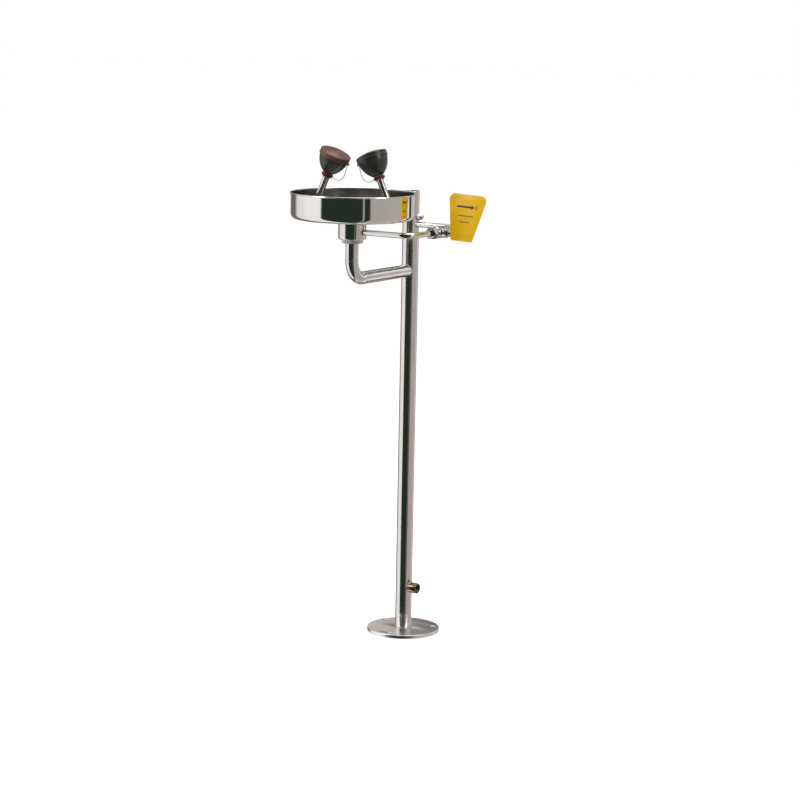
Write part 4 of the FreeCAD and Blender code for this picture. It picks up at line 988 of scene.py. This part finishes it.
rear_union_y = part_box("union_nuts")[1][1] - 0.002 - collar_length - 0.0001
front_union_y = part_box("union_nuts")[0][1] + 0.002 + collar_length + 0.0001
rear_points = ((rear_low[0], 0, valve[2]), (valve[0], 0, valve[2]), (valve[0], rear_union_y, valve[2]))
front_points = ((valve[0], front_union_y, valve[2]), (valve[0], bowl_middle[1], valve[2]),
                (front_low[0], bowl_middle[1], valve[2]))
add_piece("rear_pipe", supply_pipe("rear_pipe", rear_points, (valve[0], rear_union_y, valve[2]), 1),
          "station",
          "rear_supply_pipe", tube_steel)
add_piece("front_pipe", supply_pipe("front_pipe", front_points, (valve[0], front_union_y, valve[2]), -1),
          "station", "front_supply_pipe", tube_steel)
pipe_weld, pipe_weld_out = saddle_path((0, 0, valve[2]), SIDE, supply_radius)
weld_bead("weld_rear_pipe", pipe_weld, pipe_weld_out, 0.0009)
port = (drum_radius - 0.00015, bowl_middle[1], valve[2])
port_path, port_out = ring_path(port, (0, 1, 0), (0, 0, 1), supply_radius, 360)
weld_bead("weld_drum_port", port_path, port_out, 0.0008)


# ---- Cross bolt -----------------------------------------------------------------------------
# Stainless hexagon bolt through the column above the pipes, with a washer under its head and
# another under a domed cap nut on the valve side.

def hexagon(name, start, axis, length, flats, bore=0.0, turn=0.0, dome=None, columns=96):
    """Hexagon bar from its start: radius is flats / 2 / cos(angle from the middle of the nearest
    flat), and never more than a 30 degree cone that leaves each end face just inside the flats.
    A dome is a (radius, height) profile that carries on from the far end."""
    angle = np.linspace(0, 2 * math.pi, columns, endpoint=False)[None]
    side = flats / 2 / np.cos((angle + turn + math.pi / 6) % (math.pi / 3) - math.pi / 6)
    face = flats / 2 * 0.955
    depth = (flats / math.sqrt(3) - face) / math.sqrt(3)
    near = np.linspace(0, depth, 7)
    height = np.concatenate((near, length - near[::-1]))[:, None]
    radius = np.minimum(side, face + math.sqrt(3) * np.minimum(height, length - height))
    height = np.repeat(height, columns, axis=1)
    extra = np.array(dome if dome is not None else [(bore, length)], dtype=float)
    first = np.array([(bore, 0.0)])
    radius = np.vstack((np.repeat(first[:, :1], columns, 1), radius, np.repeat(extra[:, :1], columns, 1)))
    height = np.vstack((np.repeat(first[:, 1:], columns, 1), height, np.repeat(extra[:, 1:], columns, 1)))
    return spun(name, radius, height, start, axis, True, 28)


bright_fastener = polished_metal("bright_fastener", (0.50, 0.49, 0.48), (0.74, 0.73, 0.72), 0.10, 1.0, 1.2)
washers_low, washers_high = (np.array(corner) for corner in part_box("cross_bolt_washers"))
bolt_low, bolt_high = (np.array(corner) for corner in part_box("cross_bolt"))
cap_nut_low, cap_nut_high = (np.array(corner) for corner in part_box("cross_bolt_cap_nut"))
bolt_height = (washers_low[2] + washers_high[2]) / 2
washer_radius = (washers_high[2] - washers_low[2]) / 2
washer_thickness = washers_high[0] - column_radius
head_height = washers_low[0] - bolt_low[0]
bolt_flats = bolt_high[1] - bolt_low[1]
thread = 0.004


def washer(name, start, axis, outer, bore, thickness):
    """Flat washer with its stamped edges rounded."""
    return lathe(name, rounded([(bore, 0, 0.0002), (outer, 0, 0.0004), (outer, thickness, 0.0004),
                                (bore, thickness, 0.0002)], 3), start, axis, 72)


bolt_shank = rounded([(0.0, 0.0, 0), (thread, 0.0, 0), (thread, bolt_high[0] - washers_low[0], 0.0005),
                      (0.0, bolt_high[0] - washers_low[0], 0)], 3)
add_piece("cross_bolt_body",
          joined("cross_bolt_body",
                 [hexagon("head", (washers_low[0], 0, bolt_height), (-1, 0, 0), head_height, bolt_flats),
                  lathe("shank", bolt_shank, (washers_low[0], 0, bolt_height), SIDE, 48)]),
          "station", "cross_bolt", bright_fastener)
add_piece("cross_bolt_washer_pair",
          joined("cross_bolt_washer_pair",
                 [washer("left", (-column_radius, 0, bolt_height), (-1, 0, 0), washer_radius, 0.0043,
                         washer_thickness),
                  washer("right", (column_radius, 0, bolt_height), SIDE, washer_radius, 0.0043,
                         washer_thickness)]),
          "station", "cross_bolt_washers", bright_fastener)
cap_height = cap_nut_high[0] - cap_nut_low[0]
dome_foot = bolt_flats / 2 - 0.0004
cap_dome = np.vstack([[(dome_foot, cap_height * 0.5 + 0.0002)],
                      arc_through((dome_foot, cap_height * 0.58), (dome_foot * 0.76, cap_height * 0.88),
                                  (0.0, cap_height), 14)])
add_piece("cap_nut", hexagon("cap_nut", (cap_nut_low[0], 0, bolt_height), SIDE, cap_height / 2, bolt_flats,
                             0.0, 0.0, cap_dome), "station", "cross_bolt_cap_nut",
          bright_fastener)


# ---- Hidden seals ---------------------------------------------------------------------------
# Soft seats, packing and washers inside the valve: white PTFE and black rubber, seen only where
# a joint is opened.

white_ptfe = shaded_plastic("white_ptfe", (0.70, 0.70, 0.68), (0.86, 0.86, 0.84), 0.45, 0.0, 0.2)
for node in ("valve_seats", "stem_packing"):
    keep_node(node, white_ptfe)
for node in ("union_washers", "stem_seal_left", "stem_seal_right"):
    keep_node(node, black_rubber)


# ---- Ball valve -----------------------------------------------------------------------------
# Nickel-plated brass ball valve: a cast barrel with a bonnet for the stem, a screwed end, and a
# union nut at each end.  Its ball and stem turn with the lever.

nickel = polished_metal("nickel_plate", (0.46, 0.43, 0.40), (0.76, 0.73, 0.69), 0.09, 0.5, 1.5)
turned_brass = polished_metal("plated_nut", (0.40, 0.37, 0.34), (0.70, 0.67, 0.63), 0.12, 0.9, 1.2)
body_low, body_high = (np.array(corner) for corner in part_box("valve_body"))
adapter_high = np.array(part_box("valve_end_adapter")[1])
unions_low, unions_high = (np.array(corner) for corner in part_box("union_nuts"))
gland_high = np.array(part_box("gland_nut")[1])
barrel_radius = (body_high[2] - body_low[2]) / 2
spigot_radius = 0.0095
union_length = 0.013
union_flats = 0.024
barrel_start = body_low[1] + 0.008
BACK = (0, 1, 0)
flow = (valve[0], 0, valve[2])
barrel = rounded([(0.0, body_low[1], 0), (spigot_radius, body_low[1], 0.0005),
                  (spigot_radius, barrel_start, 0.0004),
                  (barrel_radius - 0.0012, barrel_start, 0.0012),
                  (barrel_radius - 0.0012, barrel_start + 0.007, 0.0008),
                  (barrel_radius, barrel_start + 0.0085, 0.001),
                  (barrel_radius, body_high[1] - 0.010, 0.001),
                  (barrel_radius - 0.0010, body_high[1] - 0.0085, 0.0008),
                  (barrel_radius - 0.0010, body_high[1], 0.0012), (0.0, body_high[1], 0)], 5)
bonnet_radius = 0.011
bonnet = rounded([(0.0, 0.004, 0), (bonnet_radius + 0.001, 0.004, 0), (bonnet_radius, 0.0145, 0.002),
                  (bonnet_radius, body_high[0] - valve[0], 0.0009), (0.0, body_high[0] - valve[0], 0)], 5)
add_piece("valve_casting", joined("valve_casting", [lathe("barrel", barrel, flow, BACK, 120),
                                                    lathe("bonnet", bonnet, valve, SIDE, 96)]),
          "station", "valve_body", nickel)
adapter_hex = adapter_high[1] - 0.014
spigot = rounded([(0.0, 0, 0), (spigot_radius, 0, 0), (spigot_radius, 0.008, 0.0006), (0.0, 0.008, 0)], 3)
add_piece("valve_screwed_end",
          joined("valve_screwed_end",
                 [hexagon("end_hex", (valve[0], adapter_hex, valve[2]), BACK, 0.006, union_flats, 0.0,
                          math.pi / 6),
                  lathe("end_spigot", spigot, (valve[0], adapter_hex + 0.006, valve[2]), BACK, 72)]),
          "station", "valve_end_adapter", nickel)
nut_hole = supply_radius + 0.0001
add_piece("union_nut_pair",
          joined("union_nut_pair",
                 [hexagon("front_nut", (valve[0], unions_low[1], valve[2]), BACK, union_length,
                          union_flats, nut_hole,
                          math.pi / 6),
                  hexagon("rear_nut", (valve[0], unions_high[1] - union_length, valve[2]), BACK,
                          union_length,
                          union_flats, nut_hole, math.pi / 6)]),
          "station", "union_nuts", turned_brass)
gland_face = body_high[0]
add_piece("gland_hexagon", hexagon("gland_hexagon", (gland_face, valve[1], valve[2]), SIDE,
                                   gland_high[0] - gland_face, 0.014, 0.0041), "station", "gland_nut",
          turned_brass)
keep_node("valve_ball", nickel)

stem_high = np.array(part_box("valve_stem")[1])
lever_low = np.array(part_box("lever")[0])
shoulder = lever_low[0] - valve[0]
stem_end = stem_high[0] - valve[0]
stem_thread = [(0.003 - 0.00022 * (1 - math.cos(2 * math.pi * i / 6)), shoulder + 0.0045 + i * 0.001 / 6)
               for i in range(int((stem_end - shoulder - 0.0050) / 0.001 * 6))]
stem_rows = np.vstack([rounded([(0.0, 0.0065, 0), (0.0015, 0.0065, 0), (0.0015, 0.0087, 0),
                                (0.006, 0.0087, 0.0002),
                                (0.006, 0.0111, 0.0002), (0.004, 0.0111, 0), (0.004, shoulder, 0.0003)], 3),
                       [(0.003, shoulder), (0.003, shoulder + 0.0044)], stem_thread,
                       [(0.0025, stem_end), (0.0, stem_end)]])
add_piece("stem", lathe("stem", stem_rows, valve, SIDE, 64, crease=50), "push_handle", "valve_stem",
          bright_fastener)


# ---- Lever ----------------------------------------------------------------------------------
# Bent stainless strip: its web sits on the stem and its flange runs behind the push paddle.

PADDLE_LEAN = math.radians(12.0)
PADDLE_CANT = math.radians(-2.4)
paddle_foot = valve + np.array((0.068, -0.018, -0.014))
paddle_place = Matrix.Translation(paddle_foot) @ Matrix.Rotation(math.pi / 2 - PADDLE_LEAN, 4, "X")
hub = paddle_place.inverted() @ Vector(valve)
hub_radius = 0.009
lever_thickness = 0.003
lever_left = lever_low[0] - paddle_foot[0]
flange_bottom, flange_top, flange_reach = 0.024, 0.062, 0.048


def poly_spline(curve, points):
    """A closed spline straight from point to point."""
    spline = curve.splines.new("POLY")
    spline.points.add(len(points) - 1)
    spline.points.foreach_set("co", np.hstack((points, np.zeros((len(points), 1)),
                                               np.ones((len(points), 1)))).ravel())
    spline.use_cyclic_u = True


def web_outline(curve):
    """Round hub blended into a strip up to the flange; drawn with x out of the face and y up it."""
    turn = np.linspace(0, -math.pi, 19)[:, None]
    hub_arc = np.array((hub.z, hub.y)) + hub_radius * np.hstack((np.cos(turn), np.sin(turn)))
    strip = [(-lever_thickness - 0.005, hub.y + 0.018), (-0.008, flange_top), (0.0, flange_top),
             (0.0, flange_bottom)]
    poly_spline(curve, np.vstack((hub_arc, strip)))
    circle_spline(curve, (hub.z, hub.y), 0.00305)


def flange_outline_flat(curve):
    """Rectangle with its free corners rounded, and the two stud holes."""
    corners = [(lever_left + 0.0002, flange_bottom, 0), (lever_left + flange_reach, flange_bottom, 0.006),
               (lever_left + flange_reach, flange_top, 0.006), (lever_left + 0.0002, flange_top, 0)]
    poly_spline(curve, rounded(corners, 8))
    for x in stud_x:
        circle_spline(curve, (x, stud_y), 0.0028)


stud_y = (flange_bottom + flange_top) / 2
stud_x = (lever_left + flange_reach - 0.027, lever_left + flange_reach - 0.009)
across = Matrix(((0, 0, 1, lever_left), (0, 1, 0, 0), (1, 0, 0, 0), (0, 0, 0, 1)))
web = cut_plate("lever_web", lever_thickness, 0.0003, web_outline, paddle_place @ across)
behind = paddle_place @ Matrix.Translation((0, 0, -lever_thickness))
flange = cut_plate("lever_flange", lever_thickness, 0.0003, flange_outline_flat, behind)
add_piece("bent_lever", joined("bent_lever", [web, flange]), "push_handle", "lever",
          buffed_steel)

lever_washer_low, lever_washer_high = (np.array(corner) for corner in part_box("lever_washer"))
lever_nut_low, lever_nut_high = (np.array(corner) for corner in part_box("lever_nut"))
add_piece("stem_washer", washer("stem_washer", (lever_washer_low[0], valve[1], valve[2]), SIDE, 0.006,
                                0.0033,
                                lever_washer_high[0] - lever_washer_low[0]), "push_handle", "lever_washer",
          bright_fastener)
add_piece("stem_nut", hexagon("stem_nut", (lever_nut_low[0], valve[1], valve[2]), SIDE,
                              lever_nut_high[0] - lever_nut_low[0], 0.010, 0.00305), "push_handle",
                              "lever_nut",
          bright_fastener)


# ---- Push paddle ----------------------------------------------------------------------------
# Sheet steel plate in golden yellow stove enamel, wider at the top, with two welded studs that
# bolt it to the lever.  A printed arrow and bars show where and which way to push.

paddle_height, foot_half, head_half, paddle_thickness = 0.103, 0.0265, 0.049, 0.003
cant = Matrix.Rotation(PADDLE_CANT, 4, "Z")


def paddle_outline(curve):
    """Four corners, generously rounded at the top."""
    corners = [(-foot_half, 0, 0.004), (foot_half, 0, 0.004), (head_half, paddle_height, 0.013),
               (-head_half, paddle_height, 0.013)]
    poly_spline(curve, rounded(corners, 14))


def enamel():
    """Gloss enamel: slow drift of tone, orange peel, light scratches, and dark worn edges."""
    material = bpy.data.materials.new("yellow_enamel")
    material.use_nodes = True
    nodes, links = material.node_tree.nodes, material.node_tree.links
    shader = nodes["Principled BSDF"]
    shader.inputs["Coat Weight"].default_value = 0.06
    shader.inputs["Coat Roughness"].default_value = 0.12
    shader.inputs["Specular IOR Level"].default_value = 0.2
    place = nodes.new("ShaderNodeTexCoord")
    skin = nodes.new("ShaderNodeGroup")
    skin.node_tree = MOULDED
    links.new(place.outputs["Object"], skin.inputs["Vector"])
    body = tone_mix(nodes, links, skin.outputs["Mottle"], (0.66, 0.37, 0.002), (0.84, 0.50, 0.003))
    worn = nodes.new("ShaderNodeGroup")
    worn.node_tree = EDGE_WEAR
    links.new(place.outputs["Object"], worn.inputs["Vector"])
    chipped = nodes.new("ShaderNodeMix")
    chipped.data_type = "RGBA"
    chipped.inputs["B"].default_value = (0.20, 0.13, 0.05, 1)
    links.new(worn.outputs["Wear"], chipped.inputs["Factor"])
    links.new(body, chipped.inputs["A"])
    links.new(chipped.outputs["Result"], shader.inputs["Base Color"])
    links.new(maths(nodes, links, "ADD", maths(nodes, links, "MULTIPLY", skin.outputs["Scuff"], 0.30),
                    0.22),
              shader.inputs["Roughness"])
    links.new(bump(nodes, links, skin.outputs["Peel"], 0.35, 0.0002), shader.inputs["Normal"])
    return material


def edge_wear_group():
    """Mask of rubbed edges: how far the rounded-edge normal leaves the true one, broken by noise."""
    group, source, out = node_group("edge_wear", [("Vector", "vector", None)], [("Wear", "float")])
    nodes, links = group.nodes, group.links
    soft = nodes.new("ShaderNodeBevel")
    soft.samples = 4
    soft.inputs["Radius"].default_value = 0.0007
    true = nodes.new("ShaderNodeNewGeometry")
    match = nodes.new("ShaderNodeVectorMath")
    match.operation = "DOT_PRODUCT"
    links.new(soft.outputs["Normal"], match.inputs[0])
    links.new(true.outputs["Normal"], match.inputs[1])
    away = maths(nodes, links, "MULTIPLY", maths(nodes, links, "SUBTRACT", 1.0, match.outputs["Value"]),
                 3.0)
    broken = maths(nodes, links, "MULTIPLY", away,
                   noise(nodes, links, source.outputs["Vector"], 260.0, 3.0))
    rubbed = nodes.new("ShaderNodeMapRange")
    rubbed.inputs["From Min"].default_value = 0.12
    rubbed.inputs["From Max"].default_value = 0.4
    links.new(broken, rubbed.inputs["Value"])
    links.new(rubbed.outputs["Result"], out.inputs["Wear"])
    return group


EDGE_WEAR = edge_wear_group()
plate = cut_plate("paddle_plate", paddle_thickness, 0.0005, paddle_outline, paddle_place @ cant)
stud_reach = lever_thickness + 0.006
studs = []
for x in stud_x:
    root = paddle_place @ Vector((x, stud_y, 0.0005))
    rows = rounded([(0.0, 0, 0), (0.0025, 0, 0), (0.0025, stud_reach, 0.0004), (0.0, stud_reach, 0)], 3)
    studs.append(lathe("stud", rows, root, paddle_place.to_3x3() @ Vector((0, 0, -1)), 40))
add_piece("push_plate", joined("push_plate", [plate] + studs), "push_handle", "paddle",
          enamel())


def print_ink():
    """Dark brown screen print, thin and a little uneven."""
    material = bpy.data.materials.new("print_ink")
    material.use_nodes = True
    nodes, links = material.node_tree.nodes, material.node_tree.links
    shader = nodes["Principled BSDF"]
    place = nodes.new("ShaderNodeTexCoord")
    uneven = noise(nodes, links, place.outputs["Object"], 400.0, 3.0)
    links.new(tone_mix(nodes, links, uneven, (0.020, 0.010, 0.004), (0.07, 0.038, 0.010)),
              shader.inputs["Base Color"])
    links.new(maths(nodes, links, "ADD", maths(nodes, links, "MULTIPLY", uneven, 0.2), 0.35),
              shader.inputs["Roughness"])
    return material


def push_mark(curve):
    """An arrow that points at an upright bar, and two plain bars under it."""
    middle = 0.0755
    shaft, head, half = 0.0021, 0.0050, 0.0240
    poly_spline(curve, np.array([(-half, middle - shaft), (half - 0.012, middle - shaft),
                                 (half - 0.012, middle - head),
                                 (half - 0.003, middle), (half - 0.012, middle + head),
                                 (half - 0.012, middle + shaft), (-half, middle + shaft)]))
    for left, right, low, high in ((half, half + 0.0022, middle - head, middle + head),
                                   (-0.019, 0.021, 0.0548, 0.0566), (-0.012, 0.014, 0.0413, 0.0431)):
        poly_spline(curve, np.array([(left, low), (right, low), (right, high), (left, high)]))


ink_place = paddle_place @ cant @ Matrix.Translation((0, 0, paddle_thickness - 0.00005))
add_piece("push_mark", cut_plate("push_mark", 0.00012, 0.00001, push_mark, ink_place), "push_handle", None,
          print_ink())

away = paddle_place.to_3x3() @ Vector((0, 0, -1))
paddle_washer_set = []
paddle_nut_set = []
for x in stud_x:
    face = paddle_place @ Vector((x, stud_y, -lever_thickness))
    paddle_washer_set.append(washer("washer", face, away, 0.005, 0.0028, 0.001))
    paddle_nut_set.append(hexagon("nut", face + away * 0.001, away, 0.004, 0.008, 0.00255, math.pi / 6))
add_piece("stud_washers", joined("stud_washers", paddle_washer_set), "push_handle", "paddle_washers",
          bright_fastener)
add_piece("stud_nuts", joined("stud_nuts", paddle_nut_set), "push_handle", "paddle_nuts",
          bright_fastener)


# ---- Spray manifold -------------------------------------------------------------------------
# Standpipe up through the strainer into a plated tee, and two bent tubes that carry the heads
# over the bowl, leaning in towards each other.

standpipe_low, standpipe_high = (np.array(corner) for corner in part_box("standpipe"))
tee_low, tee_high = (np.array(corner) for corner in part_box("spray_tee"))
standpipe_radius = (standpipe_high[0] - standpipe_low[0]) / 2
middle_y = bowl_middle[1]
add_piece("standpipe_tube", tube("standpipe_tube",
                                 ((0, middle_y, standpipe_low[2]), (0, middle_y, standpipe_high[2])), 0,
                                 standpipe_radius, 0.0015, SIDE), "station", "standpipe",
          tube_steel)
tee_radius = (tee_high[1] - tee_low[1]) / 2
tee_arm_radius = 0.0105
tee_height = tee_low[2] + tee_radius
crown = rounded([(0.0, tee_low[2], 0), (tee_radius, tee_low[2], 0.001), (tee_radius, tee_high[2], 0.003),
                 (0.0, tee_high[2], 0)], 6)
arm = rounded([(0.0, tee_low[0], 0), (tee_arm_radius, tee_low[0], 0.0008),
               (tee_arm_radius, tee_low[0] + 0.006, 0.0003),
               (tee_arm_radius - 0.0007, tee_low[0] + 0.0065, 0.0003),
               (tee_arm_radius - 0.0007, tee_high[0] - 0.0065, 0.0003),
               (tee_arm_radius, tee_high[0] - 0.006, 0.0003), (tee_arm_radius, tee_high[0], 0.0008),
               (0.0, tee_high[0], 0)], 4)
add_piece("manifold_tee", joined("manifold_tee", [lathe("tee_upright", crown, (0, middle_y, 0), UP, 96),
                                                  lathe("tee_arms", arm, (0, middle_y, tee_height), SIDE,
                                                        96)]),
          "station", "spray_tee", nickel)


# ---- Spray heads ----------------------------------------------------------------------------
# Glossy moulded cups on ribbed red collars, each with a foam filter and a perforated diffuser
# under a snap-on dust cap; the left cap is red-brown, the right one as dark as the cups.

STEM_LEAN = math.radians(24.5)
dark_cup = shaded_plastic("dark_green_plastic", (0.012, 0.018, 0.012), (0.028, 0.038, 0.026), 0.24, 0.12,
                          0.25)
maroon = shaded_plastic("red_brown_plastic", (0.075, 0.024, 0.014), (0.155, 0.058, 0.036), 0.34, 0.1, 0.3)
red = shaded_plastic("red_plastic", (0.20, 0.030, 0.024), (0.36, 0.065, 0.050), 0.26, 0.3, 0.3)
foam = shaded_plastic("filter_foam", (0.05, 0.05, 0.05), (0.16, 0.16, 0.15), 0.85, 0.0, 1.0)
stem_fit = 0.0076
cup_radius = 0.033
cup_wall = 0.0025
cup_rim = 0.057
cup_shoulder = 0.046
cup_foot = 0.010
cup_floor = 0.016
neck = 0.0115
swell = (0.02525, 0.025)


def cup_rows():
    """Bell outline: out from the neck in one arc, straight up to a rounded rim, and back inside."""
    inner = cup_radius - cup_wall
    return np.vstack([
        [(stem_fit, cup_foot + 0.0025), (0.0102, cup_foot + 0.0025), (0.0102, cup_foot)],
        arc_through((neck, cup_foot), swell, (cup_radius, cup_shoulder), 28),
        straight((cup_radius, cup_shoulder), (cup_radius, cup_rim - 0.0006), 5)[1:],
        arc_through((cup_radius, cup_rim - 0.0006), (cup_radius - 0.00018, cup_rim - 0.00018),
                    (cup_radius - 0.0006, cup_rim), 4),
        arc_through((inner + 0.0006, cup_rim), (inner + 0.00018, cup_rim - 0.00018),
                    (inner, cup_rim - 0.0006), 4),
        [(inner, cup_shoulder)],
        arc_through((inner, cup_shoulder), (swell[0] - cup_wall, swell[1] + 0.0015),
                    (neck - cup_wall, cup_floor), 28)[1:],
        [(stem_fit, cup_floor)]])


def dome_arc(edge_radius, edge, rise, steps):
    """Shallow dome from its edge to the axis: the arc of a sphere whose centre is on the axis."""
    sphere = (edge_radius ** 2 + rise ** 2) / (2 * rise)
    turn = np.linspace(math.asin(edge_radius / sphere), 0, steps + 1)
    return np.stack((sphere * np.sin(turn), edge + rise - sphere + sphere * np.cos(turn)), axis=1)


def dust_cap_rows():
    """Cap outline: skirt with a beaded lip, rounded corner and a shallow domed crown."""
    outer, wall, crown_edge, skirt, rise, edge = 0.035, 0.0016, 0.059, 0.048, 0.006, 0.0025
    inner = outer - wall
    return np.vstack([
        [(inner, skirt + 0.0003), (inner + 0.0003, skirt)],
        arc_through((outer - 0.0005, skirt), (outer - 0.00015, skirt + 0.00015), (outer, skirt + 0.0005),
                    4),
        arc_through((outer, skirt + 0.0018), (outer - 0.0003, skirt + 0.0022),
                    (outer - 0.0005, skirt + 0.0027), 4),
        straight((outer - 0.0005, skirt + 0.0030), (outer - 0.0004, crown_edge - edge), 4),
        arc_through((outer - 0.0002, crown_edge - edge), (outer - 0.29 * edge, crown_edge - 0.29 * edge),
                    (outer - edge, crown_edge), 10),
        dome_arc(outer - edge, crown_edge, rise, 20)[1:],
        dome_arc(inner - 0.001, crown_edge - wall, rise, 20)[::-1],
        [(inner, crown_edge - wall - 0.001)]])


def lug_outline(curve):
    """Tab with a round end, running into the cap's skirt."""
    corners = [(-0.0335, -0.004, 0), (-0.0335, 0.004, 0), (-0.042, 0.004, 0.0032), (-0.042, -0.004, 0.0032)]
    poly_spline(curve, rounded(corners, 8))
    circle_spline(curve, (-0.0388, 0), 0.0009)


for side, label in ((-1, "left"), (1, "right")):
    lean = np.array((-side * math.sin(STEM_LEAN), 0, math.cos(STEM_LEAN)))
    ring_low, ring_high = (np.array(corner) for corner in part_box("cup_collar_" + label))
    origin = (ring_low + ring_high) / 2 - lean * 0.005
    on_head = Matrix.Translation(origin) @ Matrix.Rotation(-side * STEM_LEAN, 4, "Y")
    if side < 0:
        on_head = on_head @ Matrix.Rotation(math.pi, 4, "Z")
    stem_slope = math.tan(STEM_LEAN)
    corner = (side * (abs(origin[0]) + (origin[2] - tee_height) * stem_slope), middle_y, tee_height)
    stem_top = origin + lean * 0.016
    tube_points = ((side * 0.012, middle_y, tee_height), corner, stem_top)
    add_piece("spray_pipe_" + label, tube("spray_pipe_" + label, tube_points, 0.022, 0.0075, 0.0012,
                                          BACK, 72),
              "station", "spray_tube_" + label, tube_steel)
    collar = rounded([(stem_fit, 0, 0.0003), (0.011, 0, 0.0012)] + side_rows(0.011, 0.0014, 0.0086, 14)
                     + [(0.011, 0.010, 0.0012), (stem_fit, 0.010, 0.0003)], 4)
    add_piece("grip_collar_" + label, ribbed("grip_collar_" + label, collar, origin, lean, 20, 0.0007,
                                             0.001, 0.009),
              "station", "cup_collar_" + label, red)
    add_piece("cup_" + label, lathe("cup_" + label, cup_rows(), origin, lean, 160), "station",
              "eye_cup_" + label, dark_cup)
    keep_node("filter_disc_" + label, foam)
    keep_node("diffuser_" + label, dark_cup)
    lid = lathe("cap_shell", dust_cap_rows(), origin, lean, 160)
    tab = cut_plate("cap_lug", 0.003, 0.0005, lug_outline, on_head @ Matrix.Translation((0, 0, 0.048)))
    add_piece("cap_" + label, joined("cap_" + label, [lid, tab]), "cap_" + label, "dust_cap_" + label,
              maroon if side < 0 else dark_cup)


# ---- Lanyards -------------------------------------------------------------------------------
# Thin clear cords that keep the dust caps with the station: each is moulded to the cap's lug and
# hangs in a slack loop down to a rubber band round the head's collar.

LANYARD_ROUTE = ((0.01493, 1.09570), (0.01783, 1.08933), (0.0200, 1.0780), (0.0255, 1.0675),
                 (0.0360, 1.0605), (0.04651, 1.06284), (0.05561, 1.06699))
lanyard_diameter = 0.0016


def smooth_line(name, points):
    """Points along a NURBS spline with the given control points."""
    curve = bpy.data.curves.new(name, "CURVE")
    curve.dimensions = "3D"
    curve.resolution_u = 24
    spline = curve.splines.new("NURBS")
    spline.points.add(len(points) - 1)
    spline.points.foreach_set("co", np.hstack((points, np.ones((len(points), 1)))).ravel())
    spline.order_u = 3
    spline.use_endpoint_u = True
    holder = bpy.data.objects.new(name, curve)
    bpy.context.scene.collection.objects.link(holder)
    bpy.context.view_layer.update()
    mesh = bpy.data.meshes.new_from_object(holder.evaluated_get(bpy.context.evaluated_depsgraph_get()))
    line = np.empty(len(mesh.vertices) * 3)
    mesh.vertices.foreach_get("co", line)
    bpy.data.objects.remove(holder)
    bpy.data.curves.remove(curve)
    bpy.data.meshes.remove(mesh)
    return line.reshape(-1, 3)


def cord_material():
    """Clear soft plastic gone a little grey, with the faint lay of its core showing."""
    material = bpy.data.materials.new("clear_lanyard")
    material.use_nodes = True
    nodes, links = material.node_tree.nodes, material.node_tree.links
    shader = nodes["Principled BSDF"]
    shader.inputs["Coat Weight"].default_value = 0.4
    place = nodes.new("ShaderNodeTexCoord")
    lay = nodes.new("ShaderNodeTexWave")
    lay.bands_direction = "DIAGONAL"
    lay.inputs["Scale"].default_value = 240.0
    lay.inputs["Distortion"].default_value = 0.6
    links.new(place.outputs["UV"], lay.inputs["Vector"])
    links.new(tone_mix(nodes, links, lay.outputs["Fac"], (0.42, 0.44, 0.44), (0.62, 0.63, 0.62)),
              shader.inputs["Base Color"])
    links.new(maths(nodes, links, "ADD", maths(nodes, links, "MULTIPLY", lay.outputs["Fac"], 0.2), 0.28),
              shader.inputs["Roughness"])
    links.new(bump(nodes, links, lay.outputs["Fac"], 0.3, 0.0001), shader.inputs["Normal"])
    return material


lanyard_plastic = cord_material()
for side, label in ((-1, "left"), (1, "right")):
    route = np.array([(side * x, middle_y, z) for x, z in LANYARD_ROUTE])
    line = smooth_line("lanyard_line", route)
    radius = np.full(len(line), lanyard_diameter / 2)
    body = sleeve(line, radius, BACK, 16)
    ends = np.concatenate((np.repeat(line[:1, None], 16, axis=1), body,
                           np.repeat(line[-1:, None], 16, axis=1)))
    cord = add_piece("cap_lanyard_" + label, grid_mesh("cap_lanyard_" + label, ends, False, 0.005, 60),
                     None,
                     "lanyard_" + label, lanyard_plastic)
    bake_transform(cord)
    lean = np.array((-side * math.sin(STEM_LEAN), 0, math.cos(STEM_LEAN)))
    ring_low, ring_high = (np.array(corner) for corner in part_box("lanyard_ring_" + label))
    band = rounded([(0.011, -0.0012, 0), (0.0134, -0.0012, 0.0008), (0.0134, 0.0012, 0.0008),
                    (0.011, 0.0012, 0)], 5)
    add_piece("lanyard_band_" + label, lathe("lanyard_band_" + label, band, (ring_low + ring_high) / 2,
                                             lean, 96),
              "station", "lanyard_ring_" + label, black_rubber)
